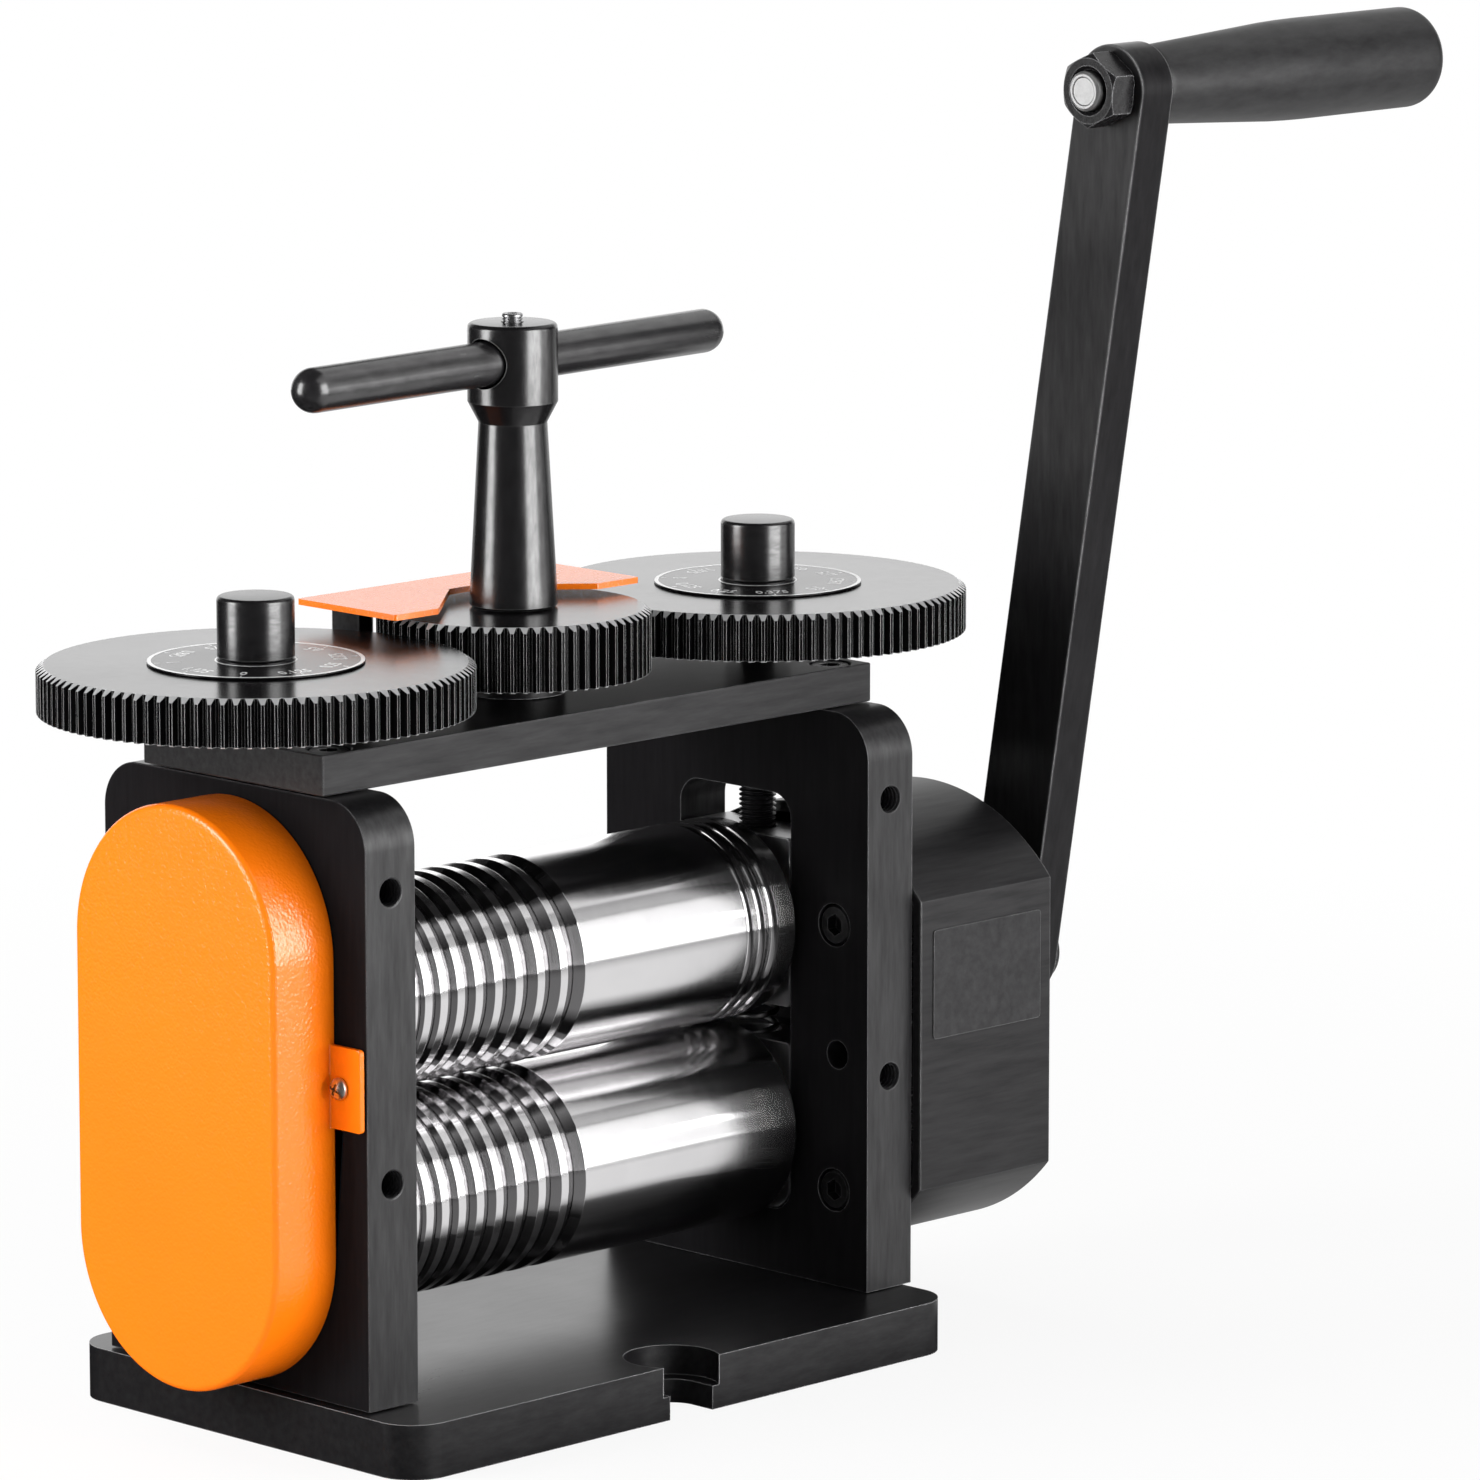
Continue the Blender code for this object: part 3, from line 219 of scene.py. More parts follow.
def prism(outline, low, high, axis="Z"):
    """A flat outline pulled out from low to high along an axis. On X the outline is in Y and Z."""
    number = "XYZ".index(axis)
    bm = bmesh.new()
    face = bm.faces.new([bm.verts.new((*point[:number], low, *point[number:])) for point in outline])
    pulled = bmesh.ops.extrude_face_region(bm, geom=[face])
    bmesh.ops.translate(bm, vec=Matrix.Identity(3)[number] * (high - low),
                        verts=[v for v in pulled["geom"] if isinstance(v, bmesh.types.BMVert)])
    bmesh.ops.remove_doubles(bm, verts=bm.verts, dist=0.0001 * mm)
    bmesh.ops.recalc_face_normals(bm, faces=bm.faces)
    return bm


def moved(bm, matrix):
    bmesh.ops.transform(bm, matrix=matrix, verts=bm.verts)
    return bm


def turned(profile, across=(0, 0), axis="Z", steps=64, ring=False):
    """A piece turned on a lathe. The profile is (place along the axis, radius), end to end."""
    number = "XYZ".index(axis)
    bm = bmesh.new()
    points = [bm.verts.new((radius, 0, along)) for along, radius in profile]
    edges = [bm.edges.new(pair) for pair in zip(points, points[1:])]
    if ring:
        edges.append(bm.edges.new((points[-1], points[0])))
    bmesh.ops.spin(bm, geom=points + edges, cent=(0, 0, 0), axis=(0, 0, 1), angle=2 * math.pi, steps=steps,
                   use_merge=True)
    bmesh.ops.remove_doubles(bm, verts=bm.verts, dist=0.0005 * mm)
    bmesh.ops.recalc_face_normals(bm, faces=bm.faces)
    centre = (*across[:number], 0, *across[number:])
    return moved(bm, Matrix.Translation(centre) @ axis_turns[axis])


def stepped(start, *runs, across=(0, 0), axis="Z", steps=64):
    """A solid turned piece, in runs of (end, radius) from its start on."""
    profile = [(start, 0)]
    for end, radius in runs:
        profile += [(profile[-1][0], radius), (end, radius)]
    return turned(profile + [(end, 0)], across, axis, steps)


def together(*shapes):
    """Several separate shapes in one mesh."""
    first = shapes[0]
    for shape in shapes[1:]:
        mesh = bpy.data.meshes.new("part")
        shape.to_mesh(mesh)
        shape.free()
        first.from_mesh(mesh)
        bpy.data.meshes.remove(mesh)
    return first


def as_object(name, bm):
    mesh = bpy.data.meshes.new(name)
    bm.to_mesh(mesh)
    bm.free()
    piece = bpy.data.objects.new(name, mesh)
    into_scene(piece)
    return piece


def carved(bm, tool_bm, operation="DIFFERENCE"):
    """One mesh cut by, kept inside, or joined to another."""
    piece = as_object("carved", bm)
    tool = as_object("tool", tool_bm)
    boolean = piece.modifiers.new("cut", "BOOLEAN")
    boolean.operation = operation
    boolean.solver = "EXACT"
    boolean.object = tool
    cut_mesh = bpy.data.meshes.new_from_object(piece.evaluated_get(bpy.context.evaluated_depsgraph_get()))
    result = bmesh.new()
    result.from_mesh(cut_mesh)
    for used in (piece, tool):
        used_mesh = used.data
        bpy.data.objects.remove(used)
        bpy.data.meshes.remove(used_mesh)
    bpy.data.meshes.remove(cut_mesh)
    return result


def softened(bm, width, limit=math.radians(40)):
    """The same mesh with its sharp edges rounded off by a small width."""
    bmesh.ops.dissolve_limit(bm, angle_limit=math.radians(0.5), verts=bm.verts, edges=bm.edges)
    sharp = [edge for edge in bm.edges if len(edge.link_faces) == 2 and edge.calc_face_angle(0) > limit]
    bmesh.ops.bevel(bm, geom=sharp, offset=width, offset_type="OFFSET", affect="EDGES", segments=2,
                    profile=0.5, material=-1, clamp_overlap=True)
    return bm


def fitted(node, bm, material, body, stands_in=True):
    """Puts a finished piece on the body it moves with, in place of the node it is named after."""
    piece = as_object(node + "_fine" if stands_in else node, bm)
    piece.data.shade_smooth()
    piece.data.set_sharp_from_angle(angle=smooth_limit)
    piece.data.materials.append(material)
    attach(piece, body)
    if stands_in:
        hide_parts(node)


def centre_of(node):
    low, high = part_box(node)
    return (low + high) / 2


def effect_group(name, inputs):
    """An empty shader group with its sockets, for an effect that several finishes share."""
    group = bpy.data.node_groups.new(name, "ShaderNodeTree")
    for label, value in inputs.items():
        kind = "NodeSocketVector" if isinstance(value, tuple) else "NodeSocketFloat"
        socket = group.interface.new_socket(name=label, in_out="INPUT", socket_type=kind)
        socket.default_value = value
    group.interface.new_socket(name="Effect", in_out="OUTPUT", socket_type="NodeSocketFloat")
    return group, group.nodes.new("NodeGroupInput").outputs, group.nodes.new("NodeGroupOutput")


def mixed(tree, share, first, second):
    """A colour between two others."""
    blend = new_node(tree, "Mix", {"Factor": share, "A": first, "B": second}, data_type="RGBA")
    return blend.outputs["Result"]


def shade(colour, factor):
    return (*[min(factor * part, 1) for part in colour], 1)


def slope(tree, axis):
    """How far a surface faces along an axis."""
    normal = new_node(tree, "NewGeometry", {}).outputs["Normal"]
    return new_node(tree, "SeparateXYZ", {0: normal}).outputs[axis]


# Lighter edges in random patches: partly real wear, partly a painted highlight along the bevels.
edge_wear_and_glint, given, result = effect_group("edge_wear_and_glint", {"Width": 0.4 * mm, "Amount": 1.0})
rounded = new_node(edge_wear_and_glint, "Bevel", {"Radius": given["Width"]}, samples=4)
flat = new_node(edge_wear_and_glint, "NewGeometry", {})
facing = new_node(edge_wear_and_glint, "VectorMath", {0: rounded.outputs[0], 1: flat.outputs["Normal"]},
                  operation="DOT_PRODUCT")
patches = new_node(edge_wear_and_glint, "TexNoise", {"Vector": object_place(edge_wear_and_glint), "Scale": 90})
turned_away = calc(edge_wear_and_glint, "SUBTRACT", 1.0, facing.outputs["Value"])
strength = calc(edge_wear_and_glint, "MULTIPLY", turned_away, given["Amount"])
feed(result, {0: calc(edge_wear_and_glint, "MULTIPLY", strength, patches.outputs[0], True)})

machining_grain, given, result = effect_group("machining_grain", {"Stretch": (1, 1, 1), "Scale": 100.0})
stretched = new_node(machining_grain, "VectorMath", {0: object_place(machining_grain), 1: given["Stretch"]},
                     operation="MULTIPLY")
streaks = new_node(machining_grain, "TexNoise", {"Vector": stretched.outputs[0], "Scale": given["Scale"],
                                                 "Detail": 4, "Roughness": 0.65})
feed(result, {0: streaks.outputs[0]})

oil_film, given, result = effect_group("oil_film", {"Scale": 20.0, "Contrast": 1.0})
blotches = new_node(oil_film, "TexNoise", {"Vector": object_place(oil_film), "Scale": given["Scale"],
                                           "Detail": 3, "Distortion": 0.6})
spread = calc(oil_film, "MULTIPLY", calc(oil_film, "SUBTRACT", blotches.outputs[0], 0.5), given["Contrast"])
feed(result, {0: calc(oil_film, "ADD", spread, 0.5, True)})


def effect(tree, group, **inputs):
    """The outcome of a shared effect on a finish."""
    return new_node(tree, "Group", inputs, node_tree=group).outputs[0]


def metal_finish(name, colour, roughness, grain_scale, grain_depth, stretch=(1, 1, 1), wear_and_glint=0.0, worn_and_glint=None,
                 wear_and_glint_width=0.4 * mm, film=0.06, metallic=0, specular=0.4, matt_axis=None,
                 matt_specular=None):
    """A metal surface with its machining grain, its oil film and its lighter edges, partly worn bare
    and partly a painted highlight along the bevels.

    The faces across the matt axis keep the dull black of the rolled plate."""
    material, tree, shader = new_material(name)
    grain = effect(tree, machining_grain, Stretch=stretch, Scale=grain_scale)
    smear = effect(tree, oil_film, Contrast=1.6)
    surface_colour = mixed(tree, grain, shade(colour, 0.72), shade(colour, 1.28))
    if wear_and_glint:
        edges = effect(tree, edge_wear_and_glint, Width=wear_and_glint_width, Amount=wear_and_glint)
        surface_colour = mixed(tree, edges, surface_colour, (*worn_and_glint, 1))
    uneven = calc(tree, "ADD", calc(tree, "MULTIPLY", grain, film), calc(tree, "MULTIPLY", smear, film))
    if matt_axis:
        across = calc(tree, "ABSOLUTE", slope(tree, matt_axis))
        specular = ramp(tree, across, 0.3, 0.45, specular, matt_specular)
    sheen = calc(tree, "MULTIPLY", ramp(tree, grain, 0.3, 0.7, 0.75, 1.25), specular)
    relief = new_node(tree, "Bump", {"Strength": 1.0, "Distance": grain_depth * mm, "Height": grain})
    feed(shader, {"Base Color": surface_colour, "Metallic": metallic, "Specular IOR Level": sheen,
                  "Roughness": calc(tree, "ADD", uneven, roughness - film, True),
                  "Normal": relief.outputs[0]})
    return material


blackened = (0.008, 0.0076, 0.0083)
black_plate = metal_finish("black_plate", blackened, 0.30, 420, 0.006, (0.25, 1, 1), 8,
                           (0.32, 0.32, 0.325), specular=0.39)
low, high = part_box("base_plate")
plate = prism(rounded_box(low.x, low.y, high.x, high.y, 10.7 * mm, steps=24), low.z, high.z)
slot_middle = (low.x + high.x) / 2
slot_half = 7.4 * mm
slot_inset = 7.1 * mm
slot_ledge = 6.1 * mm
washer_radius = 12 * mm
bolt_slots = []
washer_seats = []
for edge, inward in ((low.y, 1), (high.y, -1)):
    centre = edge + inward * slot_inset
    front, back = sorted((centre + inward * slot_half, edge - inward * 2 * slot_inset))
    front_corner, back_corner = slot_half * (inward < 0), slot_half * (inward > 0)
    bolt_slots.append(prism(rounded_box(slot_middle - slot_half, front, slot_middle + slot_half, back,
                                        front_corner, front_corner, back_corner, back_corner, steps=20),
                            low.z - over, high.z + over))
    washer_seats.append(stepped(slot_ledge, (high.z + over, washer_radius), across=(slot_middle, centre)))
plate = carved(carved(plate, together(*bolt_slots)), together(*washer_seats))
base_head_radius = 5 * mm
corner_names = ("left_front", "left_rear", "right_front", "right_rear")
screw_seats = [stepped(low.z - over, (8.6 * mm, base_head_radius + seat_gap), (high.z + over, 4.3 * mm),
                       across=centre_of("base_screw_" + corner).xy, steps=40) for corner in corner_names]
plate = softened(carved(plate, together(*screw_seats)), 0.5 * mm)
fitted("base_plate", plate, black_plate, "frame")


# Uprights
# Two flame-cut and milled side plates with rounded shoulders. A tall window in each carries the
# bearing blocks, and two tapped holes in the front edge take a guide.
upright_finish = metal_finish("upright_finish", blackened, 0.36, 520, 0.006, (1, 1, 0.12), 6,
                              (0.22, 0.22, 0.225), specular=0.52, matt_axis="X", matt_specular=0.02)
shoulder = 12 * mm
window_half = 20 * mm
window_corner = 6.5 * mm
window_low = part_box("lower_block_left")[0].z - 0.1 * mm
window_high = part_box("upper_block_left")[1].z + 11.4 * mm
screw_hole_radius = 5.2 * mm
cap_head_hole = 5.6 * mm
cap_head_depth = 6.3 * mm
cap_shank_hole = 3.3 * mm
tapped_radius = 3.5 * mm
tapped_depth = 10 * mm
tapped_heights = (69.5 * mm, 141.4 * mm)
thread_pitch = 1.25 * mm
thread_depth = 0.35 * mm
countersink = mm / 6
spare_hole = (-36.8 * mm, 74.7 * mm)


def tapped_hole(across, start, end):
    """The cutter of a threaded hole in the front edge, with a small countersink."""
    profile = [(start - over, 0), (start - over, tapped_radius + countersink),
               (start, tapped_radius + countersink), (start + countersink, tapped_radius)]
    for turn in range(int((end - start - thread_pitch) / thread_pitch)):
        at = start + countersink + turn * thread_pitch
        profile += [(at + thread_pitch / 2, tapped_radius - thread_depth), (at + thread_pitch, tapped_radius)]
    return turned(profile + [(end, tapped_radius - thread_depth), (end, 0)], across, "Y", 32)


for name in ("left_upright", "right_upright"):
    low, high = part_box(name)
    middle = (low.x + high.x) / 2
    body = prism(rounded_box(low.y, low.z, high.y, high.z, 0, 0, shoulder, shoulder, steps=20), low.x,
                 high.x, "X")
    window = prism(rounded_box(-window_half, window_low, window_half, window_high, window_corner),
                   low.x - over, high.x + over, "X")
    screw_hole = stepped(window_high - over, (high.z + over, screw_hole_radius), across=(middle, 0))
    body = carved(carved(body, window), screw_hole)
    holes = [tapped_hole((middle, height), low.y, low.y + tapped_depth) for height in tapped_heights]
    if name == "right_upright":
        holes += [stepped(low.x - over, (low.x + cap_head_depth, cap_head_hole),
                          (high.x + over, cap_shank_hole), axis="X", steps=40,
                          across=centre_of("gearbox_screw_%d" % number).yz) for number in (1, 2, 3)]
        holes.append(stepped(low.x - over, (high.x + over, 3.7 * mm), across=spare_hole, axis="X", steps=40))
    body = softened(carved(body, together(*holes)), 0.4 * mm)
    fitted(name, body, upright_finish, "frame")


# Bridge
# A ground steel bar bolted across the uprights. The adjusting screws are threaded through it, and
# the centre gear's bush is pressed into the middle.
bridge_finish = metal_finish("bridge_finish", blackened, 0.34, 520, 0.006, (0.12, 1, 1), 6,
                             (0.22, 0.22, 0.225))
low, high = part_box("bridge_plate")
bridge = prism(rounded_box(low.x, low.y, high.x, high.y, 0), low.z, high.z)
screw_axis_x = centre_of("adjusting_screw_right").x
holes = [stepped(low.z - over, (high.z + over, radius), across=(x, 0)) for x, radius in
         ((-screw_axis_x, screw_hole_radius), (screw_axis_x, screw_hole_radius), (0, 10.3 * mm))]
for corner in corner_names:
    head_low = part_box("bridge_screw_" + corner)[1].z - cap_head_depth
    holes.append(stepped(low.z - over, (head_low, cap_shank_hole), (high.z + over, 5.4 * mm),
                         across=centre_of("bridge_screw_" + corner).xy, steps=40))
bridge = softened(carved(bridge, together(*holes)), 0.4 * mm)
fitted("bridge_plate", bridge, bridge_finish, "frame")


# Cap screws
# Blackened steel screws with a hexagon socket. Four hold the uprights from under the base, four hold
# the bridge, and three hold the gearbox from inside the right upright.
black_oxide = metal_finish("black_oxide", blackened, 0.28, 700, 0.004, wear_and_glint=7, worn_and_glint=(0.45, 0.45, 0.46))
# Painted shade: a darker black with less sheen and dimmer edges for the screws deep in counterbores and
# windows.
recess_shade_black = metal_finish("recess_shade_black", (0.004, 0.0038, 0.0042), 0.34, 700, 0.004, wear_and_glint=3,
                          worn_and_glint=(0.12, 0.12, 0.125), specular=0.16)


def cap_screw(node, axis, way, head_height, shank_radius, widest, material):
    """A socket screw in place of its plain solid, with its head at the end that way points to."""
    low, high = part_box(node)
    number = "XYZ".index(axis)
    others = [i for i in range(3) if i != number]
    across = [(low[i] + high[i]) / 2 for i in others]
    head_radius = min((high[others[0]] - low[others[0]]) / 2, widest)
    top, foot = (high[number], low[number]) if way > 0 else (low[number], high[number])
    under = top - way * head_height
    chamfer = 0.4 * mm
    screw = turned([(top, 0), (top, head_radius - chamfer), (top - way * chamfer, head_radius),
                    (under, head_radius), (under, shank_radius), (foot + way * chamfer, shank_radius),
                    (foot, shank_radius - chamfer), (foot, 0)], across, axis, 40)
    key_hole = stepped(top + way * chamfer, (top - way * head_height / 2, shank_radius * 0.95),
                       across=across, axis=axis, steps=6)
    fitted(node, carved(screw, key_hole), material, "frame")


for corner in corner_names:
    cap_screw("base_screw_" + corner, "Z", -1, 8 * mm, 4 * mm, base_head_radius, black_oxide)
    cap_screw("bridge_screw_" + corner, "Z", 1, 6 * mm, 3 * mm, 1.0, black_oxide)
for number in (1, 2, 3):
    cap_screw("gearbox_screw_%d" % number, "X", -1, 6 * mm, 3 * mm, 1.0, recess_shade_black)


# Bearing blocks, bushes and springs
# Plain milled steel blocks slide in the windows, each with a pressed bronze bush for a roll's neck.
# A coil spring between each pair holds the upper block up against its screw.
milled_steel = metal_finish("milled_steel", (0.36, 0.36, 0.365), 0.36, 500, 0.01, (1, 1, 0.2), film=0.1,
                            metallic=1)
bush_bronze = metal_finish("bush_bronze", (0.42, 0.27, 0.11), 0.34, 500, 0.006, film=0.1, metallic=1)
block_corner = 1.5 * mm
roll_neck_hole = 12.5 * mm
pocket_radius = 6.1 * mm
pocket_depth = 4 * mm
closing_travel = 1.7 * mm
spring_wire = 0.8 * mm
spring_turns = 3.5
spring_steps = 112


def sleeve(low, high, inner, outer, across, axis="X", steps=64):
    """A plain turned ring."""
    return turned([(low, inner), (low, outer), (high, outer), (high, inner)], across, axis, steps, True)


def shape_of(curve):
    """A curve's mesh with its doubled points joined."""
    guide = bpy.data.objects.new("guide", curve)
    into_scene(guide)
    mesh = bpy.data.meshes.new_from_object(guide.evaluated_get(bpy.context.evaluated_depsgraph_get()))
    bpy.data.objects.remove(guide)
    shape = bmesh.new()
    shape.from_mesh(mesh)
    bpy.data.meshes.remove(mesh)
    bmesh.ops.remove_doubles(shape, verts=shape.verts, dist=0.001 * mm)
    return shape


for word, side in (("left", -1), ("right", 1)):
    for level, body_name in (("lower", "frame"), ("upper", "carriage")):
        node = "%s_block_%s" % (level, word)
        bush = "%s_bush_%s" % (level, word)
        upper = level == "upper"
        low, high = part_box(node)
        middle, axis_height = (low.x + high.x) / 2, (low.z + high.z) / 2
        foot_corner = block_corner if upper else window_corner
        block = prism(rounded_box(low.y, low.z, high.y, high.z, foot_corner, foot_corner, block_corner,
                                  block_corner, steps=6), low.x, high.x, "X")
        bush_low, bush_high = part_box(bush)
        bush_radius = (bush_high.y - bush_low.y) / 2
        facing, inward = (low.z, 1) if upper else (high.z, -1)
        pocket_end = facing + inward * (pocket_depth + closing_travel * upper)
        cutters = [stepped(low.x - over, (high.x + over, bush_radius + 0.1 * mm), across=(0, axis_height),
                           axis="X"),
                   stepped(facing - inward * over, (pocket_end, pocket_radius), across=(middle, 0), steps=40)]
        if upper:
            cutters.append(stepped(high.z - 5 * mm, (high.z + over, 5.1 * mm), across=(middle, 0), steps=40))
        block = softened(carved(block, together(*cutters)), 0.3 * mm)
        fitted(node, block, milled_steel, body_name)
        ring = sleeve(bush_low.x, bush_high.x, roll_neck_hole, bush_radius, (0, axis_height))
        fitted(bush, ring, bush_bronze, body_name)
    low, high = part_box("lifting_spring_" + word)
    coil_radius = (high.x - low.x) / 2 - spring_wire
    curve = bpy.data.curves.new("coil", "CURVE")
    curve.dimensions = "3D"
    curve.bevel_depth = spring_wire
    curve.bevel_resolution = 3
    curve.use_fill_caps = True
    spline = curve.splines.new("POLY")
    spline.points.add(spring_steps)
    for number in range(spring_steps + 1):
        turn = 2 * math.pi * spring_turns * number / spring_steps
        height = low.z + spring_wire + (high.z - low.z - 2 * spring_wire) * number / spring_steps
        spline.points[number].co = (side * screw_axis_x + coil_radius * math.cos(turn),
                                    coil_radius * math.sin(turn), height, 1)
    fitted("lifting_spring_" + word, shape_of(curve), milled_steel, "frame")


# Rolls
# Two hardened tool-steel rolls, ground and polished. Both have twelve V grooves for square wire to
# the left of the flat part, and the upper one has three half-round grooves near its right end.
roll_radius = 26 * mm
roll_half = 74.95 * mm
lower_height = 52.9 * mm
upper_height = 106.45 * mm
neck_radius = 12.3 * mm
seat_radius = 10 * mm
seat_start = 97.05 * mm
roll_chamfer = 0.5 * mm
flat_start = -0.7 * mm
first_width = 5.85 * mm
width_step = 0.45 * mm
land = 2.55 * mm
groove_count = 12
groove_depth_share = 0.26
groove_lip = 0.12 * mm
valley_half = 0.2 * mm
valley_cut = 0.45 * mm
half_rounds = ((66.1, 4.0, 1.5), (61.9, 3.0, 1.25), (57.7, 2.5, 1.0))
half_round_steps = 12


def rounded_end(end, radius, edge, steps):
    """The part of a profile that goes round an end's edge, from the end's face to its side."""
    return [(end - edge + edge * math.sin(angle), radius - edge + edge * math.cos(angle))
            for angle in [math.pi / 2 * (1 - step / steps) for step in range(steps + 1)]]


def vee_grooves():
    """The V grooves, from the flat part leftwards, each a little narrower than the one before."""
    points = []
    right = flat_start
    dip = 2 * groove_lip * groove_depth_share
    for number in range(groove_count):
        width = first_width - number * width_step
        left = right - width
        middle = (left + right) / 2
        valley = roll_radius - width * groove_depth_share + 2 * valley_half * groove_depth_share
        points += [(right + groove_lip, roll_radius), (right, roll_radius - dip / 2),
                   (right - groove_lip, roll_radius - 1.5 * dip), (middle + valley_half, valley),
                   (middle + 0.8 * valley_half, valley - valley_cut),
                   (middle - 0.8 * valley_half, valley - valley_cut), (middle - valley_half, valley),
                   (left + groove_lip, roll_radius - 1.5 * dip), (left, roll_radius - dip / 2),
                   (left - groove_lip, roll_radius)]
        right = left - land
    return points


def half_round_grooves():
    """The three half-round grooves, from right to left."""
    points = []
    for centre, width, depth in half_rounds:
        centre, half, depth = centre * mm, width * mm / 2, depth * mm
        bow = (half * half + depth * depth) / (2 * depth)
        reach = math.asin(min(half / bow, 1))
        for step in range(half_round_steps + 1):
            angle = reach - 2 * reach * step / half_round_steps
            points.append((centre + bow * math.sin(angle), roll_radius + bow - depth - bow * math.cos(angle)))
    return points


def roll_profile(right_end, left_end, upper):
    """The outline of a roll with its necks, from its right end to its left end."""
    points = [(right_end, 0)]
    if right_end > seat_start:
        points += [(right_end, seat_radius - roll_chamfer), (right_end - roll_chamfer, seat_radius),
                   (seat_start, seat_radius), (seat_start, neck_radius)]
    else:
        points.append((right_end, neck_radius))
    points.append((roll_half, neck_radius))
    if upper:
        step = roll_radius - 0.6 * mm
        points += [(roll_half, step - roll_chamfer), (roll_half - roll_chamfer, step), (70.65 * mm, step),
                   (70.55 * mm, roll_radius - 0.1 * mm), (70.45 * mm, roll_radius)]
        points += half_round_grooves()
    else:
        points += rounded_end(roll_half, roll_radius, 1.0 * mm, 6)
    return points + vee_grooves() + [
        (-roll_half + roll_chamfer, roll_radius), (-roll_half, roll_radius - roll_chamfer),
        (-roll_half, neck_radius), (-seat_start, neck_radius), (-seat_start, seat_radius),
        (left_end + roll_chamfer, seat_radius), (left_end, seat_radius - roll_chamfer), (left_end, 0)]


# Polished steel shows faint rings round the roll and a soft oil film. The groove flanks that face left get
# painted shade, a darker colour.
polished_roll, tree, shader = new_material("polished_roll")
around = new_node(tree, "Tangent", {}, direction_type="RADIAL", axis="X")
rings = effect(tree, machining_grain, Stretch=(1, 0.02, 0.02), Scale=1500)
smear = effect(tree, oil_film, Scale=35, Contrast=1.8)
tone = mixed(tree, smear, (0.70, 0.69, 0.70, 1), (0.80, 0.79, 0.795, 1))
painted_shade_flanks = ramp(tree, calc(tree, "MULTIPLY", slope(tree, "X"), -1.0), 0.15, 0.35)
uneven = calc(tree, "ADD", calc(tree, "MULTIPLY", smear, 0.02), calc(tree, "MULTIPLY", rings, 0.06))
feed(shader, {"Metallic": 1, "Anisotropic": 1, "Anisotropic Rotation": 0.25, "Tangent": around.outputs[0],
              "Base Color": mixed(tree, painted_shade_flanks, tone, (0.19, 0.186, 0.19, 1)),
              "Roughness": calc(tree, "ADD", uneven, 0.09)})
for name, height in (("lower_roll", lower_height), ("upper_roll", upper_height)):
    low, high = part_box(name)
    roll = turned(roll_profile(high.x, low.x, name == "upper_roll"), (0, height), "X", 180)
    fitted(name, roll, polished_roll, name)


# Gears
# Cut from steel blanks whose rims are chamfered on the lathe, then blackened. The two between the
# rolls have long thin teeth, and the pinion and the reduction gear hide in the gearbox.
# The light lines along the tooth edges are partly wear and partly a painted highlight.
tooth_black = metal_finish("tooth_black", (0.003, 0.0028, 0.0032), 0.20, 260, 0.002, wear_and_glint=6,
                           worn_and_glint=(0.64, 0.64, 0.65), wear_and_glint_width=0.25 * mm, film=0.04)
# The sloping crowns of the teeth get a painted highlight, a lighter colour, and the upright faces between them
# stay dull.
tree = tooth_black.node_tree
shader = tree.nodes["Principled BSDF"]
upward = calc(tree, "ABSOLUTE", slope(tree, "Z"))
painted_crown_highlight = calc(tree, "MULTIPLY", ramp(tree, upward, 0.25, 0.4), ramp(tree, upward, 0.85, 0.95, 1.0, 0.0))
plain_colour = shader.inputs["Base Color"].links[0].from_socket
feed(shader, {"Specular IOR Level": ramp(tree, upward, 0.3, 0.6, 0.12, 0.5),
              "Base Color": mixed(tree, painted_crown_highlight, plain_colour, (0.34, 0.34, 0.345, 1))})
flank_steps = 6
fine_teeth = 105
centre_teeth = 67
reduction_teeth = 38
pinion_teeth = 17
long_teeth = 12
gear_bore = 6.3 * mm
centre_bore = 7.2 * mm
drive_chamfer = 0.5 * mm
# Addendum and dedendum as shares of the module, then the backlash.
fine_shares = (0.75, 1.20, 0.45 * mm)
drive_shares = (0.80, 1.05, 0.30 * mm)
long_shares = (0.80, 0.92, 0.9 * mm)


def gear_outline(teeth, module, addendum, dedendum, backlash, phase, centre, pressure):
    """The outline of a spur gear with involute flanks, one tooth centred on the phase angle."""
    pitch = teeth * module / 2
    base = pitch * math.cos(pressure)
    outer = pitch + addendum * module
    root = pitch - dedendum * module
    half_tooth = math.pi / (2 * teeth) - backlash / (4 * pitch)
    start = max(base, root)
    flank = []
    for step in range(flank_steps):
        radius = start + (outer - start) * step / (flank_steps - 1)
        roll = math.acos(min(base / radius, 1))
        flank.append((radius, half_tooth + math.tan(pressure) - pressure - math.tan(roll) + roll))
    if root < base - 0.01 * mm:
        flank.insert(0, (root, flank[0][1]))
    gap = math.pi / teeth - flank[0][1]
    flank.insert(0, (root, flank[0][1] + gap * 0.3))
    flank[1] = (root + (flank[2][0] - root) * 0.3, flank[1][1])
    points = []
    for tooth in range(teeth):
        middle = phase + 2 * math.pi * tooth / teeth
        tooth_side = [(radius, middle - half) for radius, half in flank]
        tooth_side += [(radius, middle + half) for radius, half in reversed(flank)]
        points += [(centre[0] + radius * math.cos(angle), centre[1] + radius * math.sin(angle))
                   for radius, angle in tooth_side]
    return points


